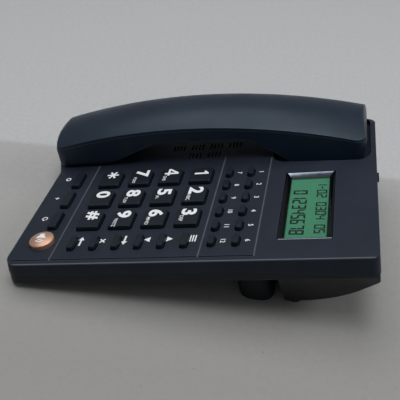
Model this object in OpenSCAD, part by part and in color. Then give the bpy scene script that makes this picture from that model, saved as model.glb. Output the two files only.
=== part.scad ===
// Desk telephone: sloped keypad base with a display, and a handset lying along its left side.
// Base pieces are drawn in the deck's own frame: x to the user's right, y up the slope, z off the deck.

/* [Base] */
// Width of the base
base_w = 150; // [146:1:160]
// Reach of the keypad's front edge, from the deck's middle
base_front = 94.5; // [92:0.5:100]
// Reach of the rear edge, from the deck's middle
base_rear = 107.5; // [106:0.5:114]
// Slope of the deck, in degrees
deck_slope = 10.2; // [9:0.1:11.5]
// Height of the deck's middle above the desk
deck_rise = 33.2; // [31:0.1:37]
// Thickness of the top cover
cover_t = 2.4; // [2:0.1:2.6]
// Thickness of the other walls
wall = 2.2; // [1.8:0.1:2.6]
// Depth of the slab below the deck
slab_depth = 15; // [14.6:0.1:17]
// Depth of the cover's skirt along the keypad
skirt = 7.5; // [6:0.1:8]
// Depth of the cover's skirt at the rear edge
skirt_rear = 12.4; // [11:0.1:13]
// Place up the slope where the skirt starts to deepen
skirt_turn = 40; // [20:1:45]
// Step from the skirt in to the lower shell
seam_step = 0.4; // [0.2:0.1:0.8]
// Reach of the mouth lobe past the keypad's front edge
lobe_reach = 8.5; // [8:0.1:9]
// Radius of the front right corner
corner_front = 8; // [4:0.5:10]
// Radius of the rear right corner
corner_rear = 4; // [3:0.5:8]
// Radius of the rear left corner
corner_ear = 13; // [12:0.1:13]
// Radius of the lobe's outer corner
corner_lobe = 22; // [16:0.5:24]
// Radius of the lower shell's edge at the front
front_round = 5; // [3:0.1:6]
// Radius of the lower shell's edge at the sides
side_round = 2.6; // [1.5:0.1:4]
// Width of the grooves that divide the deck
groove_w = 0.9; // [0.6:0.1:1.4]
// Distance of the front groove ahead of the deck's middle
groove_front = 68.3; // [67.6:0.1:69]
// Middle groove, up the slope
groove_mid = 15.8; // [15.2:0.1:16]
// Rear groove, up the slope
groove_rear = 45.4; // [44.8:0.1:46]
// Distance of the border groove from the right edge
groove_edge = 3.4; // [3:0.1:4]
// Depth of those grooves
groove_d = 0.6; // [0.3:0.1:1]

/* [Underside] */
// Room in the hump ahead of the middle of the hook switch
hump_lead = 14; // [13.6:0.1:14.5]
// Length of the hump's front step, down to its feet
hump_step = 8; // [7:0.1:9]
// Middle of the hump's belly, up the slope
hump_belly = 88.5; // [87:0.1:90]
// Depth of the belly below the deck
hump_depth = 36.8; // [36:0.1:37.5]
// Depth of the hump's lower rear edge below the deck
hump_tail = 19; // [18.4:0.1:20]
// Radius of that edge
hump_tail_r = 4; // [3:0.1:5]
// Distance of the hump's bottom from the base's sides
hump_margin = 16.5; // [15:0.1:18]
// Distance of the leg's front face ahead of the hump
leg_lead = 26; // [25:0.1:27]
// Length of the stand leg
leg_len = 20; // [18:0.1:21]
// Distance of the stand leg from the base's sides
leg_margin = 14.5; // [14:0.1:17]
// Corner radius of the stand leg
leg_r = 8; // [6:0.1:8.8]
// Clearance of the stand leg above the desk
leg_lift = 1; // [0.5:0.1:2]
// Height of a rear foot
foot_h = 2; // [1.5:0.1:3]
// Radius of a foot
foot_r = 4.4; // [4:0.1:4.6]
// Distance of the front feet ahead of the deck's middle
foot_front = 82; // [78:0.5:84]
// Distance of the feet's middles from the base's sides
foot_margin = 21.5; // [21:0.1:23]

/* [Keys] */
// Middle of the digit keys, to the right of the base's middle
keypad_x = 16.4; // [15.5:0.1:17]
// Middle of the digit keys, ahead of the deck's middle
keypad_y = 24.9; // [24.4:0.1:25.4]
// Pitch of the digit columns
col_pitch = 21.5; // [20.8:0.1:22]
// Pitch of the digit rows
row_pitch = 19.4; // [18.6:0.1:20]
// Width of a digit key
digit_w = 15.6; // [13:0.1:16.2]
// Length of a digit key
digit_l = 14.2; // [12:0.1:15]
// Height of the keys above the deck
key_proud = 2.4; // [2:0.1:3]
// Travel of the keys
key_travel = 1.5; // [1:0.1:1.7]
// Clearance round a key
key_gap = 0.4; // [0.3:0.05:0.6]
// Ledge under the cover that keeps a key in
key_ledge = 1; // [0.9:0.1:1.3]
// Draft from a key's foot to its top, on each side
key_draft = 0.5; // [0.2:0.1:0.7]
// Corner radius of the keys
key_r = 1.6; // [0.8:0.1:2]
// Middle of the function keys, to the right of the base's middle
func_x = 58.1; // [57.4:0.1:58.6]
// Pitch of the function keys
func_pitch = 13; // [12.4:0.1:13.4]
// Rearmost function key, up the slope
func_y = 6.5; // [6:0.1:7]
// Width of a function key
func_w = 11.6; // [10:0.1:12]
// Length of a function key
func_l = 4.4; // [4:0.1:5]
// Middle of the memory keys, to the right of the base's middle
memory_x = 25.9; // [25.4:0.1:26.4]
// Middle of the memory rows, up the slope
memory_y = 27.9; // [27.4:0.1:28.2]
// Pitch of the memory keys along a row
memory_pitch = 13.3; // [12.6:0.1:13.5]
// Pitch of the memory rows
memory_row = 13.2; // [12.4:0.1:13.6]
// Width of a memory key
memory_w = 8.6; // [7.6:0.1:9.4]
// Length of a memory key
memory_l = 4.4; // [4:0.1:5]
// Middle of the line keys, to the right of the base's middle
line_x = 14.4; // [14:0.1:14.8]
// Distance of the line keys ahead of the deck's middle
line_y = 76.8; // [76.2:0.1:77.4]
// Width of a line key
line_w = 16.2; // [15:0.1:16.8]
// Length of a line key
line_l = 6.3; // [5.4:0.1:6.6]
// Radius of the speaker button
speaker_r = 7.2; // [6:0.1:7.6]
// Middle of the speaker button, to the right of the base's middle
speaker_x = 55.4; // [54.8:0.1:56]
// Middle of the speaker button, ahead of the deck's middle
speaker_y = 77.9; // [77.4:0.1:78.4]
// Height of the speaker button's crown above its rim
speaker_crown = 1.4; // [0.8:0.1:2]

/* [Display] */
// Middle of the display, to the right of the base's middle
lcd_x = 26.5; // [25:0.1:28]
// Middle of the display, up the slope
lcd_y = 70; // [69:0.1:71]
// Width of the display window
lcd_w = 57.4; // [52:0.1:59]
// Length of the display window
lcd_l = 21.6; // [19:0.1:22.4]
// Slant of the bezel on each side
bezel_slant = 2.6; // [2:0.1:3]
// Flat rim of the bezel
bezel_rim = 0.9; // [0.6:0.1:1.2]
// Depth of the window below the deck
bezel_depth = 2.3; // [2:0.1:2.4]
// Thickness of the lens
lens_t = 1; // [0.8:0.1:1.4]

/* [Handset] */
// Distance of the handset from the base's left side
handset_margin = 3.7; // [3.4:0.1:4.5]
// Reach of the mouth end, ahead of the deck's middle
mouth_reach = 100.3; // [99.2:0.1:101.2]
// Reach of the ear end, up the slope
ear_reach = 103; // [102.4:0.1:103.2]
// Width of the handset at the ear end
handset_w = 48; // [46:0.1:48.4]
// Narrowing of the handset at the mouth end
mouth_taper = 3; // [0:0.1:4]
// Radius of the handset's arch along its edge
arch_r = 400; // [370:5:430]
// Place of the arch's top, ahead of the deck's middle
arch_y = 11; // [8:0.5:14]
// Height of the arch's edge above the deck
arch_h = 23.3; // [22:0.1:25]
// Crown of the handset's back above its edge
crown = 6.6; // [5:0.1:7.5]
// Lip of the back shell below its edge
back_lip = 1.4; // [1:0.1:2]
// Wall of the handset
shell_t = 2; // [1.6:0.1:2.4]
// Height of the grip's underside above the deck, at its front
grip_h = 15.2; // [14:0.1:16]
// Fall of the grip's underside from front to rear
grip_fall = 1.6; // [0.5:0.1:2]
// Front end of the grip, ahead of the deck's middle
grip_front = 26; // [22:0.5:28]
// Rear end of the grip, up the slope
grip_rear = 33; // [30:0.5:35]
// Length of the mouth cup
mouth_cup = 36; // [34.5:0.1:39]
// Length of the ear cup
ear_cup = 43; // [41.5:0.1:45]
// Lean of the ear end toward its foot
ear_lean = 3.4; // [2:0.1:4]
// Depth of the ear well in the deck
well_depth = 6; // [5:0.1:6.4]
// Clearance behind the ear cup in its well
ear_gap = 1.6; // [1:0.1:1.8]
// Clearance round the ear cup in its well
well_gap = 1; // [0.6:0.1:1.2]
// Width of the slant along the well's right rim
rim_run = 7; // [6:0.1:7.4]
// Drop of that slant
rim_drop = 5.2; // [4:0.1:5.6]
// Fall of the well's outer rim to the left, in degrees
ear_fall = 15; // [10:0.5:17]
// Gap under a resting piece that moves
seat_gap = 0.3; // [0.2:0.05:0.5]
// Radius of the receiver capsule
receiver_r = 12.6; // [11:0.1:12.7]
// Width of the balance weight in the mouth end
weight_w = 13; // [8:0.1:13.4]
// Length of that weight
weight_l = 9; // [6:0.1:9.6]
// Height of that weight
weight_h = 6.4; // [4:0.1:7]
// Radius of the microphone capsule
mic_r = 4.8; // [4:0.1:5.2]

/* [Speaker and hook] */
// Pitch of the groups of slots
group_pitch = 12.4; // [11.6:0.1:12.8]
// Width of a grille slot
slot_w = 1.1; // [0.9:0.1:1.3]
// Length of a grille slot
slot_l = 6.6; // [5:0.1:7.4]
// Pitch of the slots in a row
slot_pitch = 2.3; // [2.1:0.1:2.6]
// Pitch of the rows of slots
slot_row = 10.5; // [9.8:0.1:10.8]
// Width of the hook plunger
hook_w = 13; // [10:0.1:14]
// Length of the hook plunger
hook_l = 6; // [5:0.1:7]
// Rise of the plunger when the handset is lifted
hook_rise = 4; // [3:0.1:4.2]
// Distance of the plunger from the ear end
hook_back = 33; // [31:0.5:35]

/* [Sockets] */
// Width of a cord socket's mouth
socket_w = 7.8; // [7.4:0.1:8.2]
// Width of the line socket's mouth
line_socket_w = 9.8; // [9.4:0.1:10.2]
// Height of a socket's mouth
socket_h = 6.6; // [6.2:0.1:6.8]
// Depth of a socket
socket_depth = 11; // [9:0.1:12]
// Wall of a socket
socket_t = 1.1; // [0.9:0.1:1.3]
// Distance of the base's cord socket ahead of the deck's middle
socket_y = 62; // [56:0.5:68]
// Height of the line socket's middle above the desk
line_socket_z = 34; // [33.6:0.1:34.4]
// Middle of the line socket, to the right of the base's middle
line_socket_x = 20; // [15:0.5:25]
// Width of the ringer slider's knob
ringer_w = 6; // [5:0.1:6.4]
// Height of the ringer slider's knob
ringer_h = 3; // [2.4:0.1:3.4]
// Reach of the knob past the rear edge
ringer_proud = 1; // [0.6:0.1:1.4]
// Travel of the slider to each side
ringer_travel = 2; // [1.5:0.1:2.2]
// Distance of the ringer switch from the ear well
ringer_margin = 1; // [0.6:0.1:2]

/* [Fasteners and board] */
// Radius of the board's and cover's screw bosses
boss_r = 3.2; // [3:0.1:3.6]
// Radius of a screw's shank
screw_r = 1.3; // [1.1:0.1:1.4]
// Radius of a screw's head
head_r = 2.6; // [2.4:0.1:2.8]
// Height of a screw's head
head_h = 1.2; // [1:0.1:1.4]
// Clearance round a screw
screw_gap = 0.2; // [0.1:0.05:0.3]
// Thickness of the circuit board
board_t = 1.6; // [1.2:0.1:1.8]
// Thickness of the key mat
mat_t = 1; // [0.8:0.1:1.2]

/* [Hidden] */
$fn = 48;
eps = 0.05;
tall = 200;
curve_fn = 360;
mid = 0.5;

half_w = base_w / 2;
hump_half = half_w - hump_margin;
leg_half = half_w - leg_margin;
foot_half = half_w - foot_margin;
handset_x = half_w - handset_margin - handset_w / 2;
mouth_heel = mouth_reach - mouth_cup;
ear_toe = ear_reach - ear_cup;
hook_y = ear_reach - hook_back;
hump_front = hook_y - hump_lead;
hump_flat = hump_front + hump_step;
leg_front = hump_front - leg_lead;
lobe_front = base_front + lobe_reach;
lobe_inner_x = -handset_x + 27.3;
lobe_outer_x = -handset_x + 3.8;
lobe_turn = atan(lobe_reach / (lobe_inner_x - lobe_outer_x));
lobe_corner = 14;
lobe_hollow = 8;

deck_floor = -slab_depth + wall;
board_top = deck_floor + 4.2;
board_under = board_top - board_t;
mat_top = board_top + mat_t;
flange_top = -cover_t - seat_gap;
flange_bottom = flange_top - 1;
dome_top = flange_bottom - key_travel - seat_gap - 0.7;
stem_bottom = dome_top + key_travel + seat_gap;
stem_r = 1.6;
dome_r = 1.9;

well_half = handset_w / 2 + well_gap;
well_r = 8;
well_front = ear_toe - 14;
well_rear = ear_reach + ear_gap;
cup_bottom = -well_depth + seat_gap;
arch_center_h = arch_h - arch_r;
part_r = arch_r - back_lip;
dome_radius = (pow(handset_w / 2, 2) + pow(crown, 2)) / (2 * crown);
handset_gap = 0.1;
arch_span = 40;

board_left = -12.5;
board_right = half_w - 6;
board_front = -88;
board_rear = 88;

grille_y = 1.3;
cone_r = 24;
magnet_r = 11;

screw_xy = [
    [line_x + col_pitch + 4, -base_front + 6.4],
    [half_w - 7, 50],
    [-half_w + 8, -base_front + 4],
    [-half_w + 8, 38]
];
post_right = half_w - 9;
board_posts = [[-8.5, -84], [post_right, -66], [-8.5, 40], [post_right, 38], [-8.5, 84], [post_right, 84]];

digit_names = ["key_1", "key_2", "key_3", "key_4", "key_5", "key_6",
    "key_7", "key_8", "key_9", "key_star", "key_0", "key_hash"];
func_names = [for (i = [1:6]) str("func_key_", i)];
memory_names = [for (i = [1:12]) str("memory_key_", i)];
line_names = [for (i = [1:3]) str("line_key_", i)];
fixed_names = ["base_upper", "base_lower", "stand_leg", "front_feet", "rear_feet", "base_screws",
    "circuit_board", "keypad_mat", "lcd_bezel", "lcd_lens", "lcd_panel", "loudspeaker",
    "hook_plunger", "hook_switch", "line_jack", "handset_jack", "ringer_slider", "ringer_switch",
    "speaker_button", "handset_back", "handset_front", "receiver_capsule", "mic_capsule",
    "handset_weight", "handset_screws", "handset_socket"];

// Middles of the keys on the deck
digit_at = [for (i = [0:11]) [
    keypad_x + (i % 3 - 1) * col_pitch,
    -keypad_y + (1.5 - floor(i / 3)) * row_pitch]];
func_at = [for (i = [0:5]) [func_x, func_y - i * func_pitch]];
memory_at = [for (i = [0:11]) [
    memory_x + (i % 6 - 2.5) * memory_pitch,
    memory_y + (mid - floor(i / 6)) * memory_row]];
line_at = [for (i = [0:2]) [line_x + (i - 1) * col_pitch, -line_y]];
speaker_at = [speaker_x, -speaker_y];
key_spots = concat(digit_at, func_at, memory_at, line_at, [speaker_at]);

// Front-to-rear reach in the desk's frame, for placing the origin at the middle of the footprint
mouth_round = 9;
mouth_top_r = 11;
mouth_side_r = 4;
mouth_draft = 3;
mouth_bow = 46;
mouth_corner = 11.5;
ear_corner = 7.5;
ear_top_r = 4;
ear_tip = 2;
ear_rise = 13;
nose_h = 9;
belly_r = 50;
ringer_z = -skirt_rear / 2;
nose_y = -mouth_reach * cos(deck_slope) - nose_h * sin(deck_slope);
front_y = min(nose_y, -lobe_front * cos(deck_slope));
knob_y = (base_rear + ringer_proud) * cos(deck_slope) + (ringer_h / 2 - ringer_z) * sin(deck_slope);
rear_y = max(knob_y, base_rear * cos(deck_slope) + skirt_rear * sin(deck_slope));
deck_y = -(front_y + rear_y) / 2;

// Height off the deck of a level plane that lies z above the desk, at a place y up the slope
function level(y, z) = (z - deck_rise - y * sin(deck_slope)) / cos(deck_slope);

// Height of the arch's edge at a place y up the slope
function arch(y, r) = arch_center_h + sqrt(pow(r, 2) - pow(y + arch_y, 2));

// Outline through corners [x, y, radius], each rounded by an arc of n steps
function flat(p) = [p[0], p[1]];
function unit(p) = p / norm(p);
function turn(a) = a > 180 ? a - 360 : a < -180 ? a + 360 : a;
function corner_arc(a, b, c, n) =
    b[2] <= 0 ? [flat(b)] :
    let (to_a = unit(flat(a) - flat(b)),
         to_c = unit(flat(c) - flat(b)),
         half = acos(to_a * to_c) / 2,
         center = flat(b) + unit(to_a + to_c) * b[2] / sin(half),
         from = flat(b) + to_a * b[2] / tan(half) - center,
         to = flat(b) + to_c * b[2] / tan(half) - center,
         start = atan2(from[1], from[0]),
         sweep = turn(atan2(to[1], to[0]) - start))
    [for (k = [0:n]) center + b[2] * [cos(start + sweep * k / n), sin(start + sweep * k / n)]];
function rounded(corners, n = 6) =
    let (m = len(corners))
    [for (i = [0:m - 1]) each corner_arc(corners[(i + m - 1) % m], corners[i], corners[(i + 1) % m], n)];
function rect(w, l, r) = [[w / 2, -l / 2, r], [w / 2, l / 2, r], [-w / 2, l / 2, r], [-w / 2, -l / 2, r]];

// Outline of the base, drawn in by d and stretched ahead and behind
function base_corners(d, ahead = 0, behind = 0) =
    let (slide = d * tan(lobe_turn / 2),
         front = -base_front - ahead + d,
         nose = -lobe_front - ahead + d,
         rear = base_rear + behind - d)
    [[half_w - d, front, max(corner_front - d, 1)],
     [half_w - d, rear, max(corner_rear - d, 1)],
     [-half_w + d, rear, max(corner_ear - d, 1)],
     [-half_w + d, nose, max(corner_lobe - d, 1)],
     [lobe_outer_x - slide, nose, max(lobe_corner - d, 1)],
     [lobe_inner_x - slide, front, lobe_hollow + d]];

// Outline of the handset seen from above, drawn in by d
function handset_corners(d) =
    let (wide = handset_w / 2 - d, narrow = (handset_w - mouth_taper) / 2 - d)
    [[-handset_x + wide, ear_reach - d, max(ear_corner - d, 1)],
     [-handset_x - wide, ear_reach - d, max(ear_corner - d, 1)],
     [-handset_x - narrow, -mouth_reach + d, max(mouth_corner - d, 1)],
     [-handset_x + narrow, -mouth_reach + d, max(mouth_corner - d, 1)]];

// Underside of the handset seen from its side, as corners [y, height, radius]
handset_under = [
    [-mouth_reach, tall / 4, 0],
    [-mouth_reach, seat_gap, mouth_round],
    [-mouth_heel, seat_gap, 26],
    [-grip_front, grip_h, 20],
    [grip_rear, grip_h - grip_fall, 14],
    [ear_toe, cup_bottom, 16],
    [ear_reach - ear_lean, cup_bottom, 5],
    [ear_reach, cup_bottom + ear_rise, 8],
    [ear_reach, tall / 4, 0]];

// Carries a drawing from the deck's frame to the desk's
module deck() {
    translate([0, deck_y, deck_rise]) rotate([deck_slope, 0, 0]) children();
}

// Carries a drawing from the desk's frame to the deck's
module level_frame() {
    rotate([-deck_slope, 0, 0]) translate([0, -deck_y, -deck_rise]) children();
}

// A flat outline raised between two heights
module slab(outline, low, high) {
    translate([0, 0, low]) linear_extrude(high - low) polygon(outline);
}

// A side profile [y, height], run across from one x to another
module across(low, high) {
    translate([low, 0, 0]) rotate([90, 0, 90]) linear_extrude(high - low) children();
}

// A front profile [x, height], run up the slope from one y to another
module along(low, high) {
    translate([0, high, 0]) rotate([90, 0, 0]) linear_extrude(high - low) children();
}

module at(spot, z = 0) {
    translate([spot[0], spot[1], z]) children();
}

module post(spot, r, low, high) {
    at(spot, low) cylinder(r = r, h = high - low);
}

// Region under the seam between cover and lower shell, seen from the side
module below_seam() {
    polygon([[-tall, -skirt], [skirt_turn, -skirt], [base_rear, -skirt_rear], [tall, -skirt_rear],
        [tall, -tall], [-tall, -tall]]);
}

// Base between two heights off the deck: square to the deck, but upright from the desk at the front
module base_prism(d, low, high) {
    stretch = slab_depth;
    intersection() {
        slab(rounded(base_corners(d, ahead = stretch)), low, high);
        level_frame() translate([0, deck_y, -tall]) linear_extrude(2 * tall)
            polygon([for (q = rounded(base_corners(d, behind = stretch))) [q[0], q[1] * cos(deck_slope)]]);
    }
}

// Side view of an upright front wall that reaches ahead by front, rounded into a floor
function front_profile(front, floor_h, r) = rounded([
    [tall, tall, 0],
    [-front + tall * tan(deck_slope), tall, 0],
    [-front + floor_h * tan(deck_slope), floor_h, r],
    [tall, floor_h, 0]]);

// Lower shell's solid outline, drawn in by d
module lower_form(d) {
    inset = seam_step + d;
    floor_h = -slab_depth + d;
    side = half_w - inset;
    edge_r = max(front_round - d, 1);
    difference() {
        intersection() {
            base_prism(inset, floor_h, 0);
            along(-tall, tall) polygon(rounded([
                [side, tall, 0],
                [-side, tall, 0],
                [-side, floor_h, max(side_round - d, mid)],
                [side, floor_h, max(side_round - d, mid)]]));
            across(-tall, tall) polygon(front_profile(lobe_front - inset + eps, floor_h, edge_r));
        }
        across(lobe_inner_x + 2, tall) difference() {
            translate([-2 * tall, floor_h - 1]) square([2 * tall - base_front + 2 * edge_r, edge_r + 1]);
            polygon(front_profile(base_front - inset + eps, floor_h, edge_r));
        }
    }
    hump_form(d);
}

// Rear hump with slanted sides and a curved rear, drawn in by d
module hump_form(d) {
    inset = seam_step + d;
    low_front = level(hump_front, foot_h) + d;
    low_flat = level(hump_flat, foot_h) + d;
    rear = base_rear - inset;
    intersection() {
        across(-half_w, half_w) polygon(rounded([
            [hump_front + d, -skirt - d, 0],
            [hump_front + d, low_front, 2],
            [hump_flat, low_flat, 4],
            [hump_belly, -hump_depth + d, belly_r - d],
            [rear, -hump_tail + d, hump_tail_r - d],
            [rear, -skirt - d, 0]]));
        along(0, tall) polygon(rounded([
            [half_w - inset, 0, 0],
            [-half_w + inset, 0, 0],
            [-half_w + inset, -skirt_rear, 3],
            [-hump_half + d, low_flat, 4],
            [hump_half - d, low_flat, 4],
            [half_w - inset, -skirt_rear, 3]]));
    }
}

// Grille: four rows of slots in groups of four, the outer rows shorter
module grille_cuts() {
    steps = [-1.5:1:1.5];
    for (row = steps, group = steps, k = steps) {
        x = -handset_x + row * slot_row;
        y = grille_y + group * group_pitch + k * slot_pitch;
        if (abs(row) < 1 || abs(group) < 1)
            at([x, y], -cover_t - eps) linear_extrude(cover_t + 2 * eps)
                polygon(rounded(rect(slot_l, slot_w, slot_w / 2 - eps), 4));
    }
}

// Hole for one key in the cover
module key_hole(spot, w, l, r) {
    at(spot, -cover_t - eps) linear_extrude(cover_t + 2 * eps)
        polygon(rounded(rect(w + 2 * key_gap, l + 2 * key_gap, r + key_gap), 4));
}

module key_holes() {
    for (s = digit_at) key_hole(s, digit_w, digit_l, key_r);
    for (s = func_at) key_hole(s, func_w, func_l, key_r);
    for (s = memory_at) key_hole(s, memory_w, memory_l, memory_l / 2 - eps);
    for (s = line_at) key_hole(s, line_w, line_l, key_r);
    post(speaker_at, speaker_r + key_gap, -cover_t - eps, eps);
}

// Grooves that divide the deck into panels
groove_left = -handset_x + 15.3;
groove_right = half_w - groove_edge;
groove_ys = [-groove_front, groove_mid, groove_rear];
module grooves() {
    for (y = groove_ys) translate([groove_left, y - groove_w / 2, -groove_d])
        cube([groove_right - groove_left, groove_w, tall]);
    translate([groove_right - groove_w, -base_front + groove_edge, -groove_d])
        cube([groove_w, base_front - groove_edge + groove_rear, tall]);
}

module base_upper() {
    well_l = well_rear - well_front;
    well_y = (well_front + well_rear) / 2;
    well = rounded([for (c = rect(2 * well_half, well_l, well_r)) [c[0] - handset_x, c[1] + well_y, c[2]]]);
    tub_w = 2 * well_half + wall + rim_run;
    tub_x = -handset_x + rim_run / 2;
    tub = rounded([for (c = rect(tub_w, well_l + 2 * wall, well_r)) [c[0] + tub_x, c[1] + well_y, c[2]]]);
    rim_x = -handset_x + well_half - eps;
    rim_end = rim_x + rim_run;
    rim_slew = 3;
    fall_x = -handset_x - 11;
    fall_drop = tall * tan(ear_fall);
    bezel_w = lcd_w + 2 * (bezel_slant + bezel_rim + key_gap / 2);
    bezel_l = lcd_l + 2 * (bezel_slant + bezel_rim + key_gap / 2);
    color("#2b2f36") deck() difference() {
        union() {
            difference() {
                base_prism(0, -tall / 4, 0);
                base_prism(wall, -tall, -cover_t);
                across(-tall, tall) below_seam();
            }
            intersection() {
                slab(tub, -well_depth - wall, -eps);
                slab(rounded(base_corners(mid)), -tall, 0);
            }
            for (s = screw_xy) post(s, boss_r, deck_floor + seat_gap, -mid);
        }
        slab(well, -well_depth, tall);
        intersection() {
            along(well_front, well_rear) polygon([
                [-handset_x, -rim_drop], [rim_x, -rim_drop], [rim_end, 0], [rim_end, 1], [-handset_x, 1]]);
            slab(rounded([[rim_end, well_rear, well_r], [-handset_x, well_rear, 0],
                [-handset_x, well_front, 0], [rim_end - rim_slew, well_front, well_r]]), -tall, tall);
        }
        along(well_front, tall) polygon([
            [fall_x, 0], [fall_x, 1], [fall_x - tall, 1], [fall_x - tall, -fall_drop]]);
        key_holes();
        grooves();
        grille_cuts();
        at([lcd_x, lcd_y], -tall) linear_extrude(2 * tall)
            polygon(rounded(rect(bezel_w, bezel_l, bezel_r + key_gap / 2), 4));
        at([-handset_x, hook_y], -tall) linear_extrude(2 * tall)
            polygon(rounded(rect(hook_w + 2 * key_gap, hook_l + 2 * key_gap, 1), 4));
        for (s = screw_xy) post(s, screw_r + screw_gap, -tall, -cover_t);
        base_socket_hole();
        ringer_slot();
    }
}

// Mouth of the base's cord socket, cut through the left wall
socket_mid = (deck_floor - cover_t) / 2;
socket_tall = socket_h + 2 * socket_t;
module base_socket_hole() {
    wide = socket_w + 2 * socket_t + key_gap;
    translate([-half_w - mid, -socket_y - wide / 2, socket_mid - socket_tall / 2])
        cube([wall + 2 * mid, wide, socket_tall]);
}

tub_right = -handset_x + well_half + rim_run + wall / 2;
ringer_case = ringer_w + 2 * ringer_travel + 6;
ringer_x = tub_right + ringer_margin + ringer_case / 2;
module ringer_slot() {
    wide = ringer_w + 2 * ringer_travel + 2 * key_gap;
    high = ringer_h + 2 * key_gap;
    translate([ringer_x - wide / 2, base_rear - wall - mid, ringer_z - high / 2])
        cube([wide, wall + 2 * mid, high]);
}

module base_lower() {
    color("#1f2227") deck() difference() {
        union() {
            difference() {
                intersection() {
                    lower_form(0);
                    across(-tall, tall) below_seam();
                }
                lower_form(wall);
            }
            intersection() {
                for (s = board_posts) post(s, boss_r, -tall, board_under);
                lower_form(mid);
            }
        }
        for (s = screw_xy) {
            post(s, screw_r + screw_gap, -slab_depth - eps, deck_floor + eps);
            post(s, head_r + screw_gap, -slab_depth - eps, -slab_depth + head_h);
        }
        base_socket_hole();
        line_socket_hole();
    }
}

// The line socket opens level to the rear, in the hump's curved back
line_socket_inset = 1.4;
line_socket_rear = (base_rear - line_socket_inset) * cos(deck_slope) + deck_y;
module line_socket_hole() {
    wide = line_socket_w + 2 * socket_t + key_gap;
    level_frame() translate([line_socket_x, line_socket_rear, line_socket_z])
        translate([-wide / 2, -socket_depth, -socket_tall / 2])
        cube([wide, 2 * socket_depth, socket_tall]);
}

module stand_leg() {
    leg_rear = leg_front + leg_len;
    low_front = level(leg_front, leg_lift);
    low_rear = level(leg_rear, leg_lift);
    middle = leg_front + leg_len / 2;
    outer = [for (c = rect(2 * leg_half, leg_len, leg_r)) [c[0], c[1] + middle, c[2]]];
    inner = [for (c = rect(2 * (leg_half - wall), leg_len - 2 * wall, leg_r - wall))
        [c[0], c[1] + middle, c[2]]];
    color("#191b1f") deck() difference() {
        intersection() {
            slab(rounded(outer), -tall, -slab_depth);
            across(-tall, tall) polygon(rounded([
                [leg_front, 0, 0],
                [leg_front, low_front, 3],
                [leg_rear, low_rear, 3],
                [leg_rear, 0, 0]]));
        }
        intersection() {
            slab(rounded(inner), -tall, 0);
            across(-tall, tall) polygon([
                [leg_front, 0],
                [leg_front, low_front + 2 * wall],
                [leg_rear, low_rear + 2 * wall],
                [leg_rear, 0]]);
        }
    }
}

module front_feet() {
    for (side = [-1, 1]) color("#0f0f10") intersection() {
        translate([side * foot_half, deck_y - foot_front * cos(deck_slope), 0])
            cylinder(r = foot_r, h = slab_depth);
        deck() translate([-tall, -tall, -tall - slab_depth]) cube([2 * tall, 2 * tall, tall]);
    }
}

module rear_feet() {
    place = (hump_front + hump_flat) / 2 + mid;
    drop = level(place, foot_h);
    y = place * cos(deck_slope) - drop * sin(deck_slope) + deck_y;
    for (side = [-1, 1]) color("#0f0f10") translate([side * foot_half, y, 0])
        cylinder(r = foot_r, h = foot_h);
}

module base_screws() {
    color("#8b8d90") deck() for (s = screw_xy) at(s, -slab_depth + mid / 2) {
        cylinder(r = head_r, h = head_h - mid / 2);
        cylinder(r = screw_r, h = slab_depth - cover_t - 3);
    }
}

module circuit_board() {
    color("#2f6b3c") deck() difference() {
        translate([board_left, board_front, board_under])
            cube([board_right - board_left, board_rear - board_front, board_t]);
        for (s = screw_xy) post(s, boss_r + 1, -tall, 0);
    }
}

module keypad_mat() {
    edge = 2;
    color("#9aa0a6") deck() {
        translate([board_left + edge, board_front + edge, board_top]) difference() {
            cube([board_right - board_left - 2 * edge, memory_y + memory_row - board_front, mat_t]);
            translate([-board_left - edge, -board_front - edge, -mat_t])
                for (s = screw_xy) post(s, boss_r + 1, -tall, tall);
        }
        for (s = key_spots) post(s, dome_r, mat_top - eps, dome_top);
    }
}

// One key: ledge under the cover, straight sides in the hole, tapered cap and a stem
module key(w, l, r) {
    slab(rounded(rect(w + 2 * key_ledge, l + 2 * key_ledge, r), 3), flange_bottom, flange_top);
    slab(rounded(rect(w, l, r), 4), flange_top - eps, mid);
    translate([0, 0, mid]) linear_extrude(key_proud - mid, slices = 1,
        scale = [1 - 2 * key_draft / w, 1 - 2 * key_draft / l])
        polygon(rounded(rect(w, l, r), 4));
    translate([0, 0, stem_bottom]) cylinder(r = stem_r, h = flange_bottom - stem_bottom + eps);
}

module digit_key(i) {
    color("#3a3e46") deck() at(digit_at[i]) key(digit_w, digit_l, key_r);
}

module func_key(i) {
    color("#3a3e46") deck() at(func_at[i]) key(func_w, func_l, key_r);
}

module memory_key(i) {
    color("#3a3e46") deck() at(memory_at[i]) key(memory_w, memory_l, memory_l / 2 - eps);
}

module line_key(i) {
    color("#3a3e46") deck() at(line_at[i]) key(line_w, line_l, key_r);
}

module speaker_button() {
    ball_r = (pow(speaker_r, 2) + pow(speaker_crown, 2)) / (2 * speaker_crown);
    color("#b5694a") deck() at(speaker_at) {
        translate([0, 0, flange_bottom]) cylinder(r = speaker_r + key_ledge, h = flange_top - flange_bottom);
        intersection() {
            translate([0, 0, flange_top - eps]) cylinder(r = speaker_r, h = tall);
            translate([0, 0, key_proud + speaker_crown - ball_r]) sphere(r = ball_r, $fn = 96);
        }
        translate([0, 0, stem_bottom]) cylinder(r = stem_r, h = flange_bottom - stem_bottom + eps);
    }
}

module lcd_bezel() {
    w = lcd_w + 2 * (bezel_slant + bezel_rim);
    l = lcd_l + 2 * (bezel_slant + bezel_rim);
    color("#9fb0bd") deck() at([lcd_x, lcd_y], -bezel_depth) difference() {
        linear_extrude(bezel_depth) polygon(rounded(rect(w, l, bezel_r), 4));
        translate([0, 0, -eps]) linear_extrude(bezel_depth + 2 * eps, slices = 1,
            scale = [1 + 2 * bezel_slant / lcd_w, 1 + 2 * bezel_slant / lcd_l])
            square([lcd_w, lcd_l], center = true);
    }
}

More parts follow.
